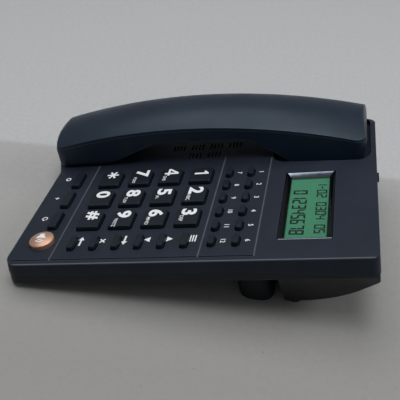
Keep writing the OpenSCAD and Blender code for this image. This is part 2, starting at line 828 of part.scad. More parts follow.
lens_w = lcd_w + 2 * bezel_slant;
bezel_r = 1.3;
lens_l = lcd_l + 2 * bezel_slant;
module lcd_lens() {
    color("#c8d8d0", 0.4) deck() at([lcd_x, lcd_y], -bezel_depth - lens_t) linear_extrude(lens_t)
        polygon(rounded(rect(lens_w, lens_l, 1), 4));
}

module lcd_panel() {
    color("#42866a") deck() at([lcd_x, lcd_y], board_top)
        linear_extrude(-bezel_depth - lens_t - board_top)
        polygon(rounded(rect(lens_w, lens_l, 1), 4));
}

// Loudspeaker: basket with a rim under the grille, a cone and a magnet
module loudspeaker() {
    rim = cone_r + 1.6;
    low = deck_floor + 1;
    color("#303030") deck() at([-handset_x, grille_y]) rotate_extrude() polygon([
        [0, low], [magnet_r, low], [magnet_r, low + 3], [rim, -cover_t - 2], [rim, -cover_t],
        [cone_r, -cover_t], [cone_r, -cover_t - 1], [magnet_r, -cover_t - 4], [0, -cover_t - 3]]);
}

hook_top = cup_bottom - seat_gap;
hook_flange = -well_depth - wall - hook_rise - seat_gap;
module hook_plunger() {
    color("#2b2f36") deck() at([-handset_x, hook_y]) {
        slab(rounded(rect(hook_w, hook_l, 0.8), 4), hook_flange - 1, hook_top);
        slab(rounded(rect(hook_w + 3, hook_l + 3, 0.8), 4), hook_flange - 1, hook_flange);
    }
}

// Hook switch: body under the plunger, hung from the well's floor by two cheeks
hook_case = 4;
hook_cheek = 2;
hook_body = 6;
module hook_switch() {
    wide = hook_w + 2 * hook_case;
    top = hook_flange - 1 - seat_gap;
    color("#6b5a3a") deck() at([-handset_x, hook_y]) difference() {
        slab(rounded(rect(wide, hook_l, mid), 2), top - hook_body, -well_depth - wall);
        slab(rounded(rect(wide - 2 * hook_cheek, 2 * hook_l, 0), 1), top, 0);
    }
}

// A cord socket: square tube with a closed end, mouth at x = 0 facing +x
module socket(w) {
    difference() {
        translate([-socket_depth - socket_t, -w / 2 - socket_t, -socket_h / 2 - socket_t])
            cube([socket_depth + socket_t, w + 2 * socket_t, socket_h + 2 * socket_t]);
        translate([-socket_depth, -w / 2, -socket_h / 2]) cube([socket_depth + 1, w, socket_h]);
    }
}

module handset_jack() {
    color("#15161a") deck() translate([-half_w + seam_step + mid, -socket_y, socket_mid])
        rotate([0, 0, 180]) socket(socket_w);
}

module line_jack() {
    color("#15161a") translate([line_socket_x, line_socket_rear, line_socket_z]) rotate([0, 0, 90])
        socket(line_socket_w);
}

module ringer_slider() {
    color("#4a4d52") deck() translate([ringer_x, base_rear, ringer_z]) {
        translate([-ringer_w / 2, -wall - seat_gap - 1, -ringer_h / 2])
            cube([ringer_w, wall + seat_gap + 1 + ringer_proud, ringer_h]);
        translate([-ringer_w / 2 - 1, -wall - seat_gap - 1, -ringer_h / 2 - 1])
            cube([ringer_w + 2, 1, ringer_h + 2]);
    }
}

module ringer_switch() {
    wide = ringer_case;
    high = ringer_h + 4;
    color("#7d8086") deck() translate([ringer_x, base_rear - wall, ringer_z]) difference() {
        translate([-wide / 2, -6, -high / 2]) cube([wide, 6, high]);
        translate([-wide / 2 + 1.5, -2 - seat_gap, -high / 2 + mid]) cube([wide - 3, 4, high - 1]);
    }
}

// Round sweep of a profile [radius, x] about the arch's axis
module swept() {
    translate([-handset_x, -arch_y, arch_center_h]) rotate([90, 0, 90])
        rotate_extrude(angle = arch_span, start = 90 - arch_span / 2, $fn = curve_fn) children();
}

// Section of the handset's crowned back, from radius low up, drawn in by d
module back_section(low, d) {
    wide = handset_w / 2 - d;
    intersection() {
        translate([low, -wide]) square([back_lip + crown + 5, 2 * wide]);
        translate([arch_r + crown - dome_radius, 0]) circle(r = dome_radius - d, $fn = 180);
    }
}

// Height of the crown's highest line, and of its tangent there, at places up the slope
function crown_line(y) = arch(y, arch_r + crown);
function crown_tangent(from, y) =
    crown_line(from) - (y - from) * (from + arch_y) / (crown_line(from) - arch_center_h);

// Ends of the handset seen from the side, with an ear end that leans in at its top
nose_at = -mouth_reach + 9;
ear_at = ear_reach - 6;
end_run = 36;
module end_limits(d) {
    nose = -mouth_reach + d;
    ear = ear_reach - d;
    across(-tall, tall) polygon(rounded([
        [nose, -tall / 4, 0],
        [ear, -tall / 4, 0],
        [ear, arch(ear_reach, arch_r) - 4, 6],
        [ear - ear_tip, crown_tangent(ear_at, ear - ear_tip) - d, max(ear_top_r - d, 1)],
        [ear - end_run, crown_tangent(ear_at, ear - end_run) - d, 0],
        [0, tall / 4, 0],
        [nose + end_run, crown_tangent(nose_at, nose + end_run) - d, 0],
        [nose, crown_tangent(nose_at, nose) - d, 0]]));
}

// Mouth end with a bowed front, whose top edge is rounded along the bow
module mouth_limit(d) {
    nose = -mouth_reach + d;
    top = crown_tangent(nose_at, nose) - d;
    fall = atan((crown_tangent(nose_at, 0) - crown_tangent(nose_at, nose)) / -nose);
    deep = tall / 4;
    translate([-handset_x, nose, top]) rotate([fall, 0, 0]) translate([0, mouth_bow, 0])
        rotate_extrude($fn = curve_fn) polygon(rounded([
            [0, 0, 0],
            [0, -deep, 0],
            [mouth_bow + deep * tan(fall), -deep, 0],
            [mouth_bow, 0, mouth_top_r - d]], 8));
    slab([for (c = rect(2 * tall, 2 * tall, 0)) [c[0], c[1] + tall + nose + mouth_bow]], -tall, tall);
}

ear_screw_back = 10;
mouth_screw_back = 8;
handset_screw_at = [[-handset_x, ear_reach - ear_screw_back], [-handset_x, -mouth_heel - mouth_screw_back]];
handset_screw_low = [cup_bottom, seat_gap];
pad_h = 3.4;

module handset_back() {
    color("#343a44") deck() difference() {
        union() {
            difference() {
                intersection() {
                    swept() back_section(part_r + handset_gap, 0);
                    slab(rounded(handset_corners(0), 10), -tall, tall);
                    end_limits(0);
                    mouth_limit(0);
                }
                intersection() {
                    swept() back_section(part_r - 5, shell_t);
                    slab(rounded(handset_corners(shell_t), 10), -tall, tall);
                    end_limits(shell_t);
                    mouth_limit(shell_t);
                }
            }
            intersection() {
                for (i = [0, 1]) post(handset_screw_at[i], boss_r - mid, handset_screw_low[i] + pad_h, tall);
                swept() translate([part_r - tall / 4, -handset_w / 2])
                    square([tall / 4 + back_lip + crown - shell_t / 2, handset_w]);
            }
        }
        for (i = [0, 1])
            post(handset_screw_at[i], screw_r + screw_gap, -tall, handset_screw_low[i] + pad_h + 8);
    }
}

// Space under the parting line, from the arch's axis out to the given radius
module inside_arch(r) {
    translate([0, -arch_y, arch_center_h]) rotate([90, 0, 90])
        cylinder(r = r, h = tall, center = true, $fn = curve_fn);
}

// Section of the mouth cup with rounded lower edges, open behind the cup
module mouth_sides() {
    low = (handset_w - mouth_taper) / 2;
    high = low + tall * tan(mouth_draft);
    along(-tall, -grip_front) polygon(rounded([
        [-handset_x + high, tall, 0],
        [-handset_x - high, tall, 0],
        [-handset_x - low, seat_gap, mouth_side_r],
        [-handset_x + low, seat_gap, mouth_side_r]]));
    along(-grip_front - eps, tall) translate([-tall, -tall]) square(2 * tall);
}

module handset_front() {
    ear_len = 42;
    mouth_len = 30;
    color("#2a2e36") deck() difference() {
        union() {
            difference() {
                intersection() {
                    across(-tall, tall) polygon(rounded(handset_under, 8));
                    mouth_sides();
                    slab(rounded(handset_corners(0), 10), -tall, tall);
                    inside_arch(part_r);
                    end_limits(0);
                    mouth_limit(0);
                }
                intersection() {
                    slab(rounded(handset_corners(shell_t), 6), -tall, tall);
                    mouth_limit(shell_t);
                    union() {
                        across(-tall, tall) polygon(rounded([
                            [ear_reach - shell_t, tall / 4, 0],
                            [ear_reach - ear_len, tall / 4, 0],
                            [ear_reach - ear_len, cup_bottom + shell_t, 3],
                            [ear_reach - ear_lean - shell_t, cup_bottom + shell_t, 3],
                            [ear_reach - shell_t, cup_bottom + ear_rise, 6]]));
                        across(-tall, tall) polygon(rounded([
                            [-mouth_reach + mouth_len + shell_t, tall / 4, 0],
                            [-mouth_reach + shell_t, tall / 4, 0],
                            [-mouth_reach + shell_t, seat_gap + shell_t, 5],
                            [-mouth_reach + mouth_len + shell_t, seat_gap + shell_t, 3]]));
                        across(-tall, tall) polygon([
                            [-mouth_reach + mouth_len, tall / 4],
                            [-grip_front, grip_h + shell_t],
                            [grip_rear, grip_h - grip_fall + shell_t],
                            [ear_reach - ear_len, tall / 4]]);
                    }
                }
            }
            for (i = [0, 1])
                post(handset_screw_at[i], boss_r, handset_screw_low[i] + mid, handset_screw_low[i] + pad_h);
        }
        for (i = [0, 1]) {
            post(handset_screw_at[i], screw_r + screw_gap, -tall, tall);
            post(handset_screw_at[i], head_r + screw_gap, -tall, handset_screw_low[i] + 2);
        }
        handset_socket_hole();
        for (a = [0:60:300])
            at([-handset_x, receiver_y])
                post(ear_ring * [cos(a), sin(a)], port_r, -tall, cup_bottom + 2 * shell_t);
        post([-handset_x, receiver_y], port_r, -tall, cup_bottom + 2 * shell_t);
        post(mic_at, port_r, -tall, 2 * shell_t);
    }
}

receiver_lip = 5;
receiver_t = 3;
receiver_h = 5.4;
receiver_y = ear_reach - ear_screw_back - boss_r - seat_gap - receiver_r;
weight_x = 4.6;
weight_y = 18.4;
ear_ring = 6;
port_r = 1.1;
mic_side = 11;
mic_back = 19.2;
mic_h = 5;
mic_at = [-handset_x - mic_side, -mouth_reach + mic_back];

module receiver_capsule() {
    color("#5a5d61") deck() at([-handset_x, receiver_y], cup_bottom + shell_t) {
        cylinder(r = receiver_r, h = receiver_t);
        cylinder(r = receiver_r - receiver_lip, h = receiver_h);
    }
}

module mic_capsule() {
    color("#8d9094") deck() at(mic_at, seat_gap + shell_t) cylinder(r = mic_r, h = mic_h);
}

module handset_weight() {
    color("#777a7d") deck() translate([-handset_x + weight_x, -mouth_reach + weight_y, seat_gap + shell_t])
        cube([weight_w, weight_l, weight_h]);
}

module handset_screws() {
    color("#8b8d90") deck() for (i = [0, 1]) at(handset_screw_at[i], handset_screw_low[i]) {
        translate([0, 0, mid]) cylinder(r = head_r, h = 2 - mid);
        translate([0, 0, 1]) cylinder(r = screw_r, h = pad_h + 5);
    }
}

// The handset's cord socket lies along the mouth end's middle
handset_socket_h = seat_gap + 1 + socket_t + socket_h / 2;
module handset_socket_place() {
    translate([-handset_x, -mouth_reach + 5, handset_socket_h]) rotate([0, 0, -90]) children();
}
module handset_socket_hole() {
    wide = socket_w + 2 * socket_t + key_gap;
    handset_socket_place() translate([-socket_depth - socket_t - key_gap, -wide / 2, -socket_tall / 2])
        cube([2 * socket_depth, wide, socket_tall]);
}
module handset_socket() {
    color("#15161a") deck() handset_socket_place() socket(socket_w);
}

base_upper();
base_lower();
stand_leg();
front_feet();
rear_feet();
base_screws();
circuit_board();
keypad_mat();
lcd_bezel();
lcd_lens();
lcd_panel();
loudspeaker();
hook_plunger();
hook_switch();
line_jack();
handset_jack();
ringer_slider();
ringer_switch();
speaker_button();
handset_back();
handset_front();
receiver_capsule();
mic_capsule();
handset_weight();
handset_screws();
handset_socket();
for (i = [0:11]) digit_key(i);
for (i = [0:5]) func_key(i);
for (i = [0:11]) memory_key(i);
for (i = [0:2]) line_key(i);
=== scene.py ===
"""Looks of a desk telephone: finishes, printed marks, display figures, light and camera."""

import logging
import math
from dataclasses import dataclass, field
from enum import Enum
from typing import ClassVar, Iterable, Sequence

import bmesh
import bpy
from bmesh.types import BMesh, BMVert
from bpy.types import Material, Mesh, Node, NodeSocket, Object
from mathutils import Matrix, Vector
from mathutils.bvhtree import BVHTree


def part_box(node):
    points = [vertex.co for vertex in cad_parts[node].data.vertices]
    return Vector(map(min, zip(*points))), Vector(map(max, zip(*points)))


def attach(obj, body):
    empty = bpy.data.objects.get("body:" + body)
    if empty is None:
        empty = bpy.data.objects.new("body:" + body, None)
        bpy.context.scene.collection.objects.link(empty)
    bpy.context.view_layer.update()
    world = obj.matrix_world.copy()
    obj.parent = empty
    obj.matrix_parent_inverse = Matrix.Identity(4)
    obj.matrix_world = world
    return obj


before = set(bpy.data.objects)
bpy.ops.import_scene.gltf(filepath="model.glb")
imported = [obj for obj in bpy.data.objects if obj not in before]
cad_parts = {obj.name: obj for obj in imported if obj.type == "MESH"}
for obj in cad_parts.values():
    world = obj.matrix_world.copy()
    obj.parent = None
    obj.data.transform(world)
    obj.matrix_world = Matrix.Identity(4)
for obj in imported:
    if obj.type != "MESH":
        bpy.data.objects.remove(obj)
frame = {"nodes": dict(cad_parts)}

Colour = tuple[float, float, float]
Place = tuple[float, float, float]
Point = tuple[float, float]
Paint = dict[str, Material]
Value = float | Place | NodeSocket

LOG = logging.getLogger("telephone")
MM = 0.001
# Soft edges: points that are merged before and after, and faces that count as one flat face
WELD_GAP = 0.004 * MM
CLEAN_GAP = 0.0003 * MM
FLAT_ANGLE = math.radians(0.6)
EVEN_WEIGHT = 100
# Steps of each curve in a printed character
CURVE_STEPS = 4
# Bars of each display figure
FIGURES: dict[str, str] = {
    "0": "abcdef", "1": "bc", "2": "abdeg", "3": "abcdg", "4": "bcfg",
    "5": "acdfg", "6": "acdefg", "7": "abc", "8": "abcdefg", "9": "abcdfg", "-": "g",
}


class Segment(Enum):
    """The seven bars of a display figure."""

    TOP = "a"
    UPPER_RIGHT = "b"
    LOWER_RIGHT = "c"
    BOTTOM = "d"
    LOWER_LEFT = "e"
    UPPER_LEFT = "f"
    MIDDLE = "g"


# Finishes


def times(colour: Colour, factor: float) -> Colour:
    """A colour made lighter or darker."""
    return tuple(factor * c for c in colour)


class Shader:
    """A material's node tree with short calls for the nodes that the finishes share."""

    # The mix node's colour sockets share their names with its other kinds, so they go by number
    MIX_COLOURS = (6, 7)
    MIX_RESULT = 2
    # Agreement of the rounded and the plain normal where an edge is lightened by wear and a painted
    # highlight, and where it is not
    EDGE_BAND: Point = (0.75, 0.985)
    EDGE_SAMPLES = 4

    def __init__(self, name: str) -> None:
        """Start a material with a principled shader.

        Args:
            name: Name of the material.
        """
        self.material = bpy.data.materials.new(name)
        self.material.use_nodes = True
        self.tree = self.material.node_tree
        self.tree.nodes.clear()
        self.surface = self.add("BsdfPrincipled")
        self.add("OutputMaterial", Surface=self.surface.outputs["BSDF"])
        self.place = self.add("TexCoord").outputs["Object"]

    def add(self, kind: str, **inputs: Value) -> Node:
        """Add a node.

        Args:
            kind: Kind of shader node.
            inputs: Input names with underscores for spaces, and their constants or sources.

        Returns:
            The node.
        """
        node = self.tree.nodes.new(f"ShaderNode{kind}")
        self.set(node, **inputs)
        return node

    def set(self, node: Node, **inputs: Value) -> None:
        """Give a node's inputs their constants or sources."""
        for key, value in inputs.items():
            self.put(node.inputs[key.replace("_", " ")], value)

    def put(self, socket: NodeSocket, value: Value) -> None:
        """Give one input its constant or source.

        Args:
            socket: The input.
            value: A constant, or the output that feeds it.
        """
        if isinstance(value, NodeSocket):
            self.tree.links.new(value, socket)
        else:
            socket.default_value = (*value, 1.0) if socket.type == "RGBA" else value

    def remap(self, source: NodeSocket, low: float, high: float,
              from_low: float = 0.0, from_high: float = 1.0) -> NodeSocket:
        """Stretch a value to a new range.

        Args:
            source: Value to stretch.
            low: Result at from_low.
            high: Result at from_high.
            from_low: Start of the source's range.
            from_high: End of the source's range.

        Returns:
            The stretched value.
        """
        node = self.add("MapRange", Value=source, From_Min=from_low, From_Max=from_high,
                        To_Min=low, To_Max=high)
        return node.outputs["Result"]

    def mix(self, factor: NodeSocket, first: Value, second: Value) -> NodeSocket:
        """Blend two colours.

        Args:
            factor: Share of the second colour.
            first: Colour or socket at factor 0.
            second: Colour or socket at factor 1.

        Returns:
            The blended colour.
        """
        node = self.add("Mix", Factor=factor)
        node.data_type = "RGBA"
        for number, value in zip(self.MIX_COLOURS, (first, second)):
            self.put(node.inputs[number], value)
        return node.outputs[self.MIX_RESULT]

    def calculate(self, operation: str, first: NodeSocket, second: NodeSocket | float,
                  third: float = 0.0) -> NodeSocket:
        """Reckon with two values.

        Args:
            operation: Name of the operation.
            first: First value.
            second: Second value, a socket or a plain number.
            third: Tolerance, where the operation has one.

        Returns:
            The result.
        """
        node = self.add("Math")
        node.operation = operation
        for socket, value in zip(node.inputs, (first, second, third)):
            self.put(socket, value)
        return node.outputs["Value"]

    def bump(self, height: NodeSocket, depth: float, strength: float) -> None:
        """Add a relief to the surface.

        Args:
            height: Height of the relief, 0 to 1.
            depth: Depth of the relief in metres.
            strength: Share of the relief that shows.
        """
        node = self.add("Bump", Height=height, Distance=depth, Strength=strength)
        normal = self.surface.inputs["Normal"]
        if normal.is_linked:
            self.put(node.inputs["Normal"], normal.links[0].from_socket)
        self.put(normal, node.outputs["Normal"])

    def split(self, place: NodeSocket) -> tuple[NodeSocket, ...]:
        """The x, y and z of a place."""
        return tuple(self.add("SeparateXYZ", Vector=place).outputs)

    def deck_axes(self) -> tuple[NodeSocket, ...]:
        """Place in the deck's own frame.

        Returns:
            u, v and h in metres.
        """
        back = Deck().matrix.inverted()
        level = self.add("Mapping", Vector=self.place, Location=back.to_translation(),
                         Rotation=back.to_euler())
        return self.split(level.outputs["Vector"])

    def edge_mask(self, radius: float) -> NodeSocket:
        """Mask of the sharp edges, where wear and a painted highlight lighten the colour.

        Args:
            radius: Width of the lightened band in metres.

        Returns:
            1 on an edge and 0 away from it.
        """
        rounded = self.add("Bevel", Radius=radius)
        rounded.samples = self.EDGE_SAMPLES
        dot = self.add("VectorMath")
        dot.operation = "DOT_PRODUCT"
        for socket, node in zip(dot.inputs, (rounded, self.add("NewGeometry"))):
            self.put(socket, node.outputs["Normal"])
        return self.remap(dot.outputs["Value"], 1.0, 0.0, *self.EDGE_BAND)


@dataclass(frozen=True)
class Noise:
    """Noise with so many features per metre, and the band of it that a mask is cut from."""

    scale: float
    detail: float = 3.0
    rough: float = 0.55
    stretch: Place = (1.0, 1.0, 1.0)
    band: Point = (0.3, 0.7)
    share: float = 1.0

    def value(self, shader: Shader) -> NodeSocket:
        """Add the plain noise to a material.

        Args:
            shader: The material under way.

        Returns:
            The noise, about 0 to 1.
        """
        place = shader.add("Mapping", Vector=shader.place, Scale=self.stretch).outputs["Vector"]
        node = shader.add("TexNoise", Vector=place, Scale=self.scale, Detail=self.detail,
                          Roughness=self.rough)
        return node.outputs["Fac"]

    def mask(self, shader: Shader) -> NodeSocket:
        """0 below the band, and the share above it."""
        return shader.remap(self.value(shader), 0.0, self.share, *self.band)


@dataclass(frozen=True)
class Tracks(Noise):
    """Rows of tracks in place of noise."""

    def value(self, shader: Shader) -> NodeSocket:
        """0 between the tracks and 1 on them."""
        return shader.add("TexBrick", Vector=shader.place, Scale=self.scale).outputs["Fac"]


@dataclass(frozen=True)
class Relief:
    """One layer of fine relief on a surface."""

    noise: Noise
    depth: float
    strength: float


Layers = tuple[Relief, ...]
Sockets = ClassVar[dict[str, str]]


class Grain(Enum):
    """How a moulded surface was textured in its tool, as layers of relief."""

    SPARK = (Relief(Noise(3200.0, 2.0, 0.6), 0.03 * MM, 0.35), Relief(Noise(850.0, 2.0), 0.04 * MM, 0.16))
    SATIN = (Relief(Noise(3800.0, 1.0), 0.016 * MM, 0.25), Relief(Noise(60.0, 2.0), 0.12 * MM, 0.10))
    GLOSS = (Relief(Noise(320.0, 1.0), 0.01 * MM, 0.15),)


@dataclass(frozen=True)
class Finish:
    """A finish: two tones in clouds, flecks, edges lightened by wear and a painted highlight, uneven gloss
    and fine relief.
    """

    # Fields that are constants of the principled shader, and its inputs that take them
    SOCKETS: Sockets = {}

    name: str
    colour: Colour
    roughness: Point
    other: Colour | None = None
    tones: Point = (1.0, 1.0)
    cloud: Noise = Noise(45.0, 4.0)
    fleck: Noise | None = None
    fleck_light: float = 1.0
    # Colour of the sharp edges: wear, and a painted highlight where light catches them
    worn: Colour | None = None
    edge: float = 0.5 * MM
    smear: Noise | None = None
    reliefs: Layers = ()

    def material(self) -> Material:
        """Make the material.

        Returns:
            The finished material.
        """
        shader = Shader(self.name)
        mask = self.cloud.mask(shader)
        tone = shader.mix(mask, self.ground(shader), self.other or times(self.colour, self.tones[1]))
        if self.fleck:
            tone = shader.mix(self.fleck.mask(shader), tone, times(self.colour, self.fleck_light))
        # Sharp edges lightened by wear and by a painted highlight
        if self.worn:
            tone = shader.mix(shader.edge_mask(self.edge), tone, self.worn)
        smear = self.smear.mask(shader) if self.smear else mask
        constants = {socket: getattr(self, name) for name, socket in self.SOCKETS.items()}
        shader.set(shader.surface, Base_Color=self.tint(shader, tone),
                   Roughness=shader.remap(smear, *self.roughness), **constants)
        for relief in self.layers():
            shader.bump(relief.noise.value(shader), relief.depth, relief.strength)
        return shader.material

    def ground(self, shader: Shader) -> Colour | NodeSocket:
        """The first of the two tones."""
        return times(self.colour, self.tones[0])

    def tint(self, shader: Shader, tone: NodeSocket) -> NodeSocket:
        """Leave the colour as it is."""
        return tone

    def layers(self) -> Layers:
        """Layers of relief."""
        return self.reliefs


@dataclass(frozen=True)
class Plastic(Finish):
    """A moulded plastic with grain, cloudy colour, edges lightened by wear and a painted highlight, and a
    cool sheen.
    """

    SOCKETS: Sockets = {"index": "IOR", "gloss": "Specular_IOR_Level", "sheen": "Specular_Tint"}

    tones: Point = (0.86, 1.14)
    fleck: Noise = Noise(2600.0, 1.0, band=(0.55, 0.75), share=0.28)
    fleck_light: float = 1.5
    smear: Noise = Noise(70.0, 5.0, 0.6)
    grain: Grain = Grain.SPARK
    gloss: float = 0.32
    index: float = 1.5
    sheen: Colour = (0.80, 0.92, 1.0)

    def layers(self) -> Layers:
        """Relief of the grain."""
        return self.grain.value


@dataclass(frozen=True)
class CoverPlastic(Plastic):
    """The cover's plastic, with a painted highlight in the deck's grooves and on its right rim."""

    # Painted highlight in the grooves and on the rim, where light catches their edges
    glint: Colour = (0.115, 0.130, 0.150)
    grooves: tuple[float, ...] = (-68.55 * MM, 15.55 * MM, 45.15 * MM)
    groove_half: float = 0.3 * MM
    groove_end: float = 72.0 * MM
    groove_top: float = 0.04 * MM
    groove_bottom: float = 0.12 * MM
    groove_depth: float = 0.65 * MM
    rim: float = 74.3 * MM
    rim_depth: float = 0.6 * MM
    rim_fade: float = 0.04 * MM
    rim_share: float = 0.8

    def tint(self, shader: Shader, tone: NodeSocket) -> NodeSocket:
        """Paint a highlight into the grooves and onto the rim.

        Args:
            shader: The material under way.
            tone: Its colour so far.

        Returns:
            The colour with both painted highlights.
        """
        across, along, height = shader.deck_axes()
        below = shader.remap(height, 1.0, 0.0, -self.groove_bottom, -self.groove_top)
        for inside in (shader.calculate("COMPARE", across, 0.0, self.groove_end),
                       shader.calculate("GREATER_THAN", height, -self.groove_depth)):
            below = shader.calculate("MULTIPLY", below, inside)
        for groove in self.grooves:
            near = shader.calculate("COMPARE", along, groove, self.groove_half)
            # Painted highlight along each groove's upper wall
            tone = shader.mix(shader.calculate("MULTIPLY", near, below), tone, self.glint)
        outer = shader.calculate("GREATER_THAN", across, self.rim)
        start = -self.rim_depth - self.rim_fade
        upper = shader.remap(height, 0.0, self.rim_share, start, -self.rim_depth)
        return shader.mix(shader.calculate("MULTIPLY", outer, upper), tone, self.glint)


@dataclass(frozen=True)
class Metallised(Finish):
    """A bright metal coat on plastic, with faint handling marks."""

    SOCKETS: Sockets = {"metal": "Metallic", "coat": "Coat_Weight", "coat_roughness": "Coat_Roughness"}

    tones: Point = (0.9, 1.06)
    cloud: Noise = Noise(220.0)
    smear: Noise = Noise(400.0, 4.0, 0.65)
    reliefs: Layers = (Relief(Noise(1500.0, 2.0), 0.006 * MM, 0.25),)
    metal: float = 1.0
    coat: float = 0.0
    coat_roughness: float = 0.12


@dataclass(frozen=True)
class BezelCoat(Metallised):
    """The bezel's coat, with painted shade on the slants along the display's long sides."""

    middle: Point = (26.5 * MM, 70.0 * MM)
    half: Point = (28.7 * MM, 10.8 * MM)
    # Painted shade on the long slants, standing in for the dark they reflect
    smoke: Colour = (0.030, 0.032, 0.038)

    def tint(self, shader: Shader, tone: NodeSocket) -> NodeSocket:
        """Paint shade on the long sides, up to the mitres.

        Args:
            shader: The material under way.
            tone: Its colour so far.

        Returns:
            The colour with painted shade on the sides.
        """
        past = []
        for place, middle, half in zip(shader.deck_axes(), self.middle, self.half):
            away = shader.calculate("ABSOLUTE", shader.calculate("SUBTRACT", place, middle), 0.0)
            past.append(shader.calculate("SUBTRACT", away, half))
        return shader.mix(shader.calculate("GREATER_THAN", past[1], past[0]), tone, self.smoke)


@dataclass(frozen=True)
class BareMetal(Finish):
    """Turned, pressed or plated metal with fine lines."""

    SOCKETS: Sockets = {"metal": "Metallic"}
    LINES: ClassVar[Noise] = Noise(900.0, 3.0, 0.6, (0.06, 1.0, 1.0))

    tones: Point = (0.82, 1.0)
    cloud: Noise = LINES
    reliefs: Layers = (Relief(LINES, 0.01 * MM, 0.3),)
    metal: float = 1.0


@dataclass(frozen=True)
class Rubber(Finish):
    """Matt rubber with a dusty bloom as its other colour."""

    cloud: Noise = Noise(140.0, 5.0)
    reliefs: Layers = (Relief(Noise(1800.0, 2.0), 0.03 * MM, 0.3),)


@dataclass(frozen=True)
class Ink(Finish):
    """Screen-printed ink, with its tone where it lies thin as its other colour."""

    SOCKETS: Sockets = {"gloss": "Specular_IOR_Level"}

    cloud: Noise = Noise(1900.0, band=(0.56, 0.78), share=0.5)
    reliefs: Layers = (Relief(Noise(2400.0, 2.0), 0.008 * MM, 0.3),)
    gloss: float = 0.3


@dataclass(frozen=True)
class DisplayCell(Finish):
    """The reflective green cell of a display, with a faint painted glow."""

    SOCKETS: Sockets = {"colour": "Emission_Color", "glow": "Emission_Strength",
                        "gloss": "Specular_IOR_Level"}

    tones: Point = (0.93, 1.05)
    cloud: Noise = Noise(28.0, 2.0)
    fleck: Noise = Noise(5200.0, 1.0, band=(0.4, 0.8), share=0.25)
    fleck_light: float = 0.8
    reliefs: Layers = (Relief(Noise(5200.0, 1.0), 0.004 * MM, 0.2),)
    # Emission that lightens the reflective cell: a painted glow
    glow: float = 0.10
    gloss: float = 0.12


@dataclass(frozen=True)
class ClearLens(Finish):
    """A thin clear window with faint smears."""

    SOCKETS: Sockets = {"cover": "Alpha", "index": "IOR"}

    tones: Point = (1.0, 0.9)
    cloud: Noise = Noise(60.0, 5.0, 0.65)
    reliefs: Layers = (Relief(Noise(30.0, 1.0), 0.02 * MM, 0.1),)
    cover: float = 0.04
    index: float = 1.49


@dataclass(frozen=True)
class CircuitBoard(Finish):
    """Green laminate with copper tracks under the mask."""

    TRACKS: ClassVar[Noise] = Tracks(160.0, band=(0.0, 1.0), share=0.6)

    tones: Point = (1.0, 1.8)
    cloud: Noise = TRACKS
    reliefs: Layers = (Relief(TRACKS, 0.018 * MM, 0.4),)


@dataclass(frozen=True)
class FloorPaper(Finish):
    """Pale paper with painted light that makes it lighter to the far side, and lightest past a line there.
    """

    tones: Point = (1.0, 0.6)
    cloud: Noise = Noise(260.0, 4.0, 0.7, share=0.16)
    fleck: Noise = Noise(520.0, 1.0, band=(0.76, 0.80), share=0.6)
    fleck_light: float = 0.4
    reliefs: Layers = (Relief(Noise(500.0), 0.05 * MM, 0.2),)
    # Colour at the far side: painted light that grows towards the far side
    far: Colour = (0.385, 0.378, 0.367)
    far_band: Point = (-0.06, 0.12)
    beyond: Colour = (0.470, 0.470, 0.473)
    beyond_band: Point = (-0.080, -0.075)

    def ground(self, shader: Shader) -> Colour | NodeSocket:
        """The paper's tone from near to far, with painted light that grows to the far side.

        Args:
            shader: The material under way.

        Returns:
            The tone.
        """
        across = shader.split(shader.place)[0]
        # Painted light: the paper grows lighter towards the far side
        tone = shader.mix(shader.remap(across, 1.0, 0.0, *self.far_band), self.colour, self.far)
        return shader.mix(shader.remap(across, 1.0, 0.0, *self.beyond_band), tone, self.beyond)


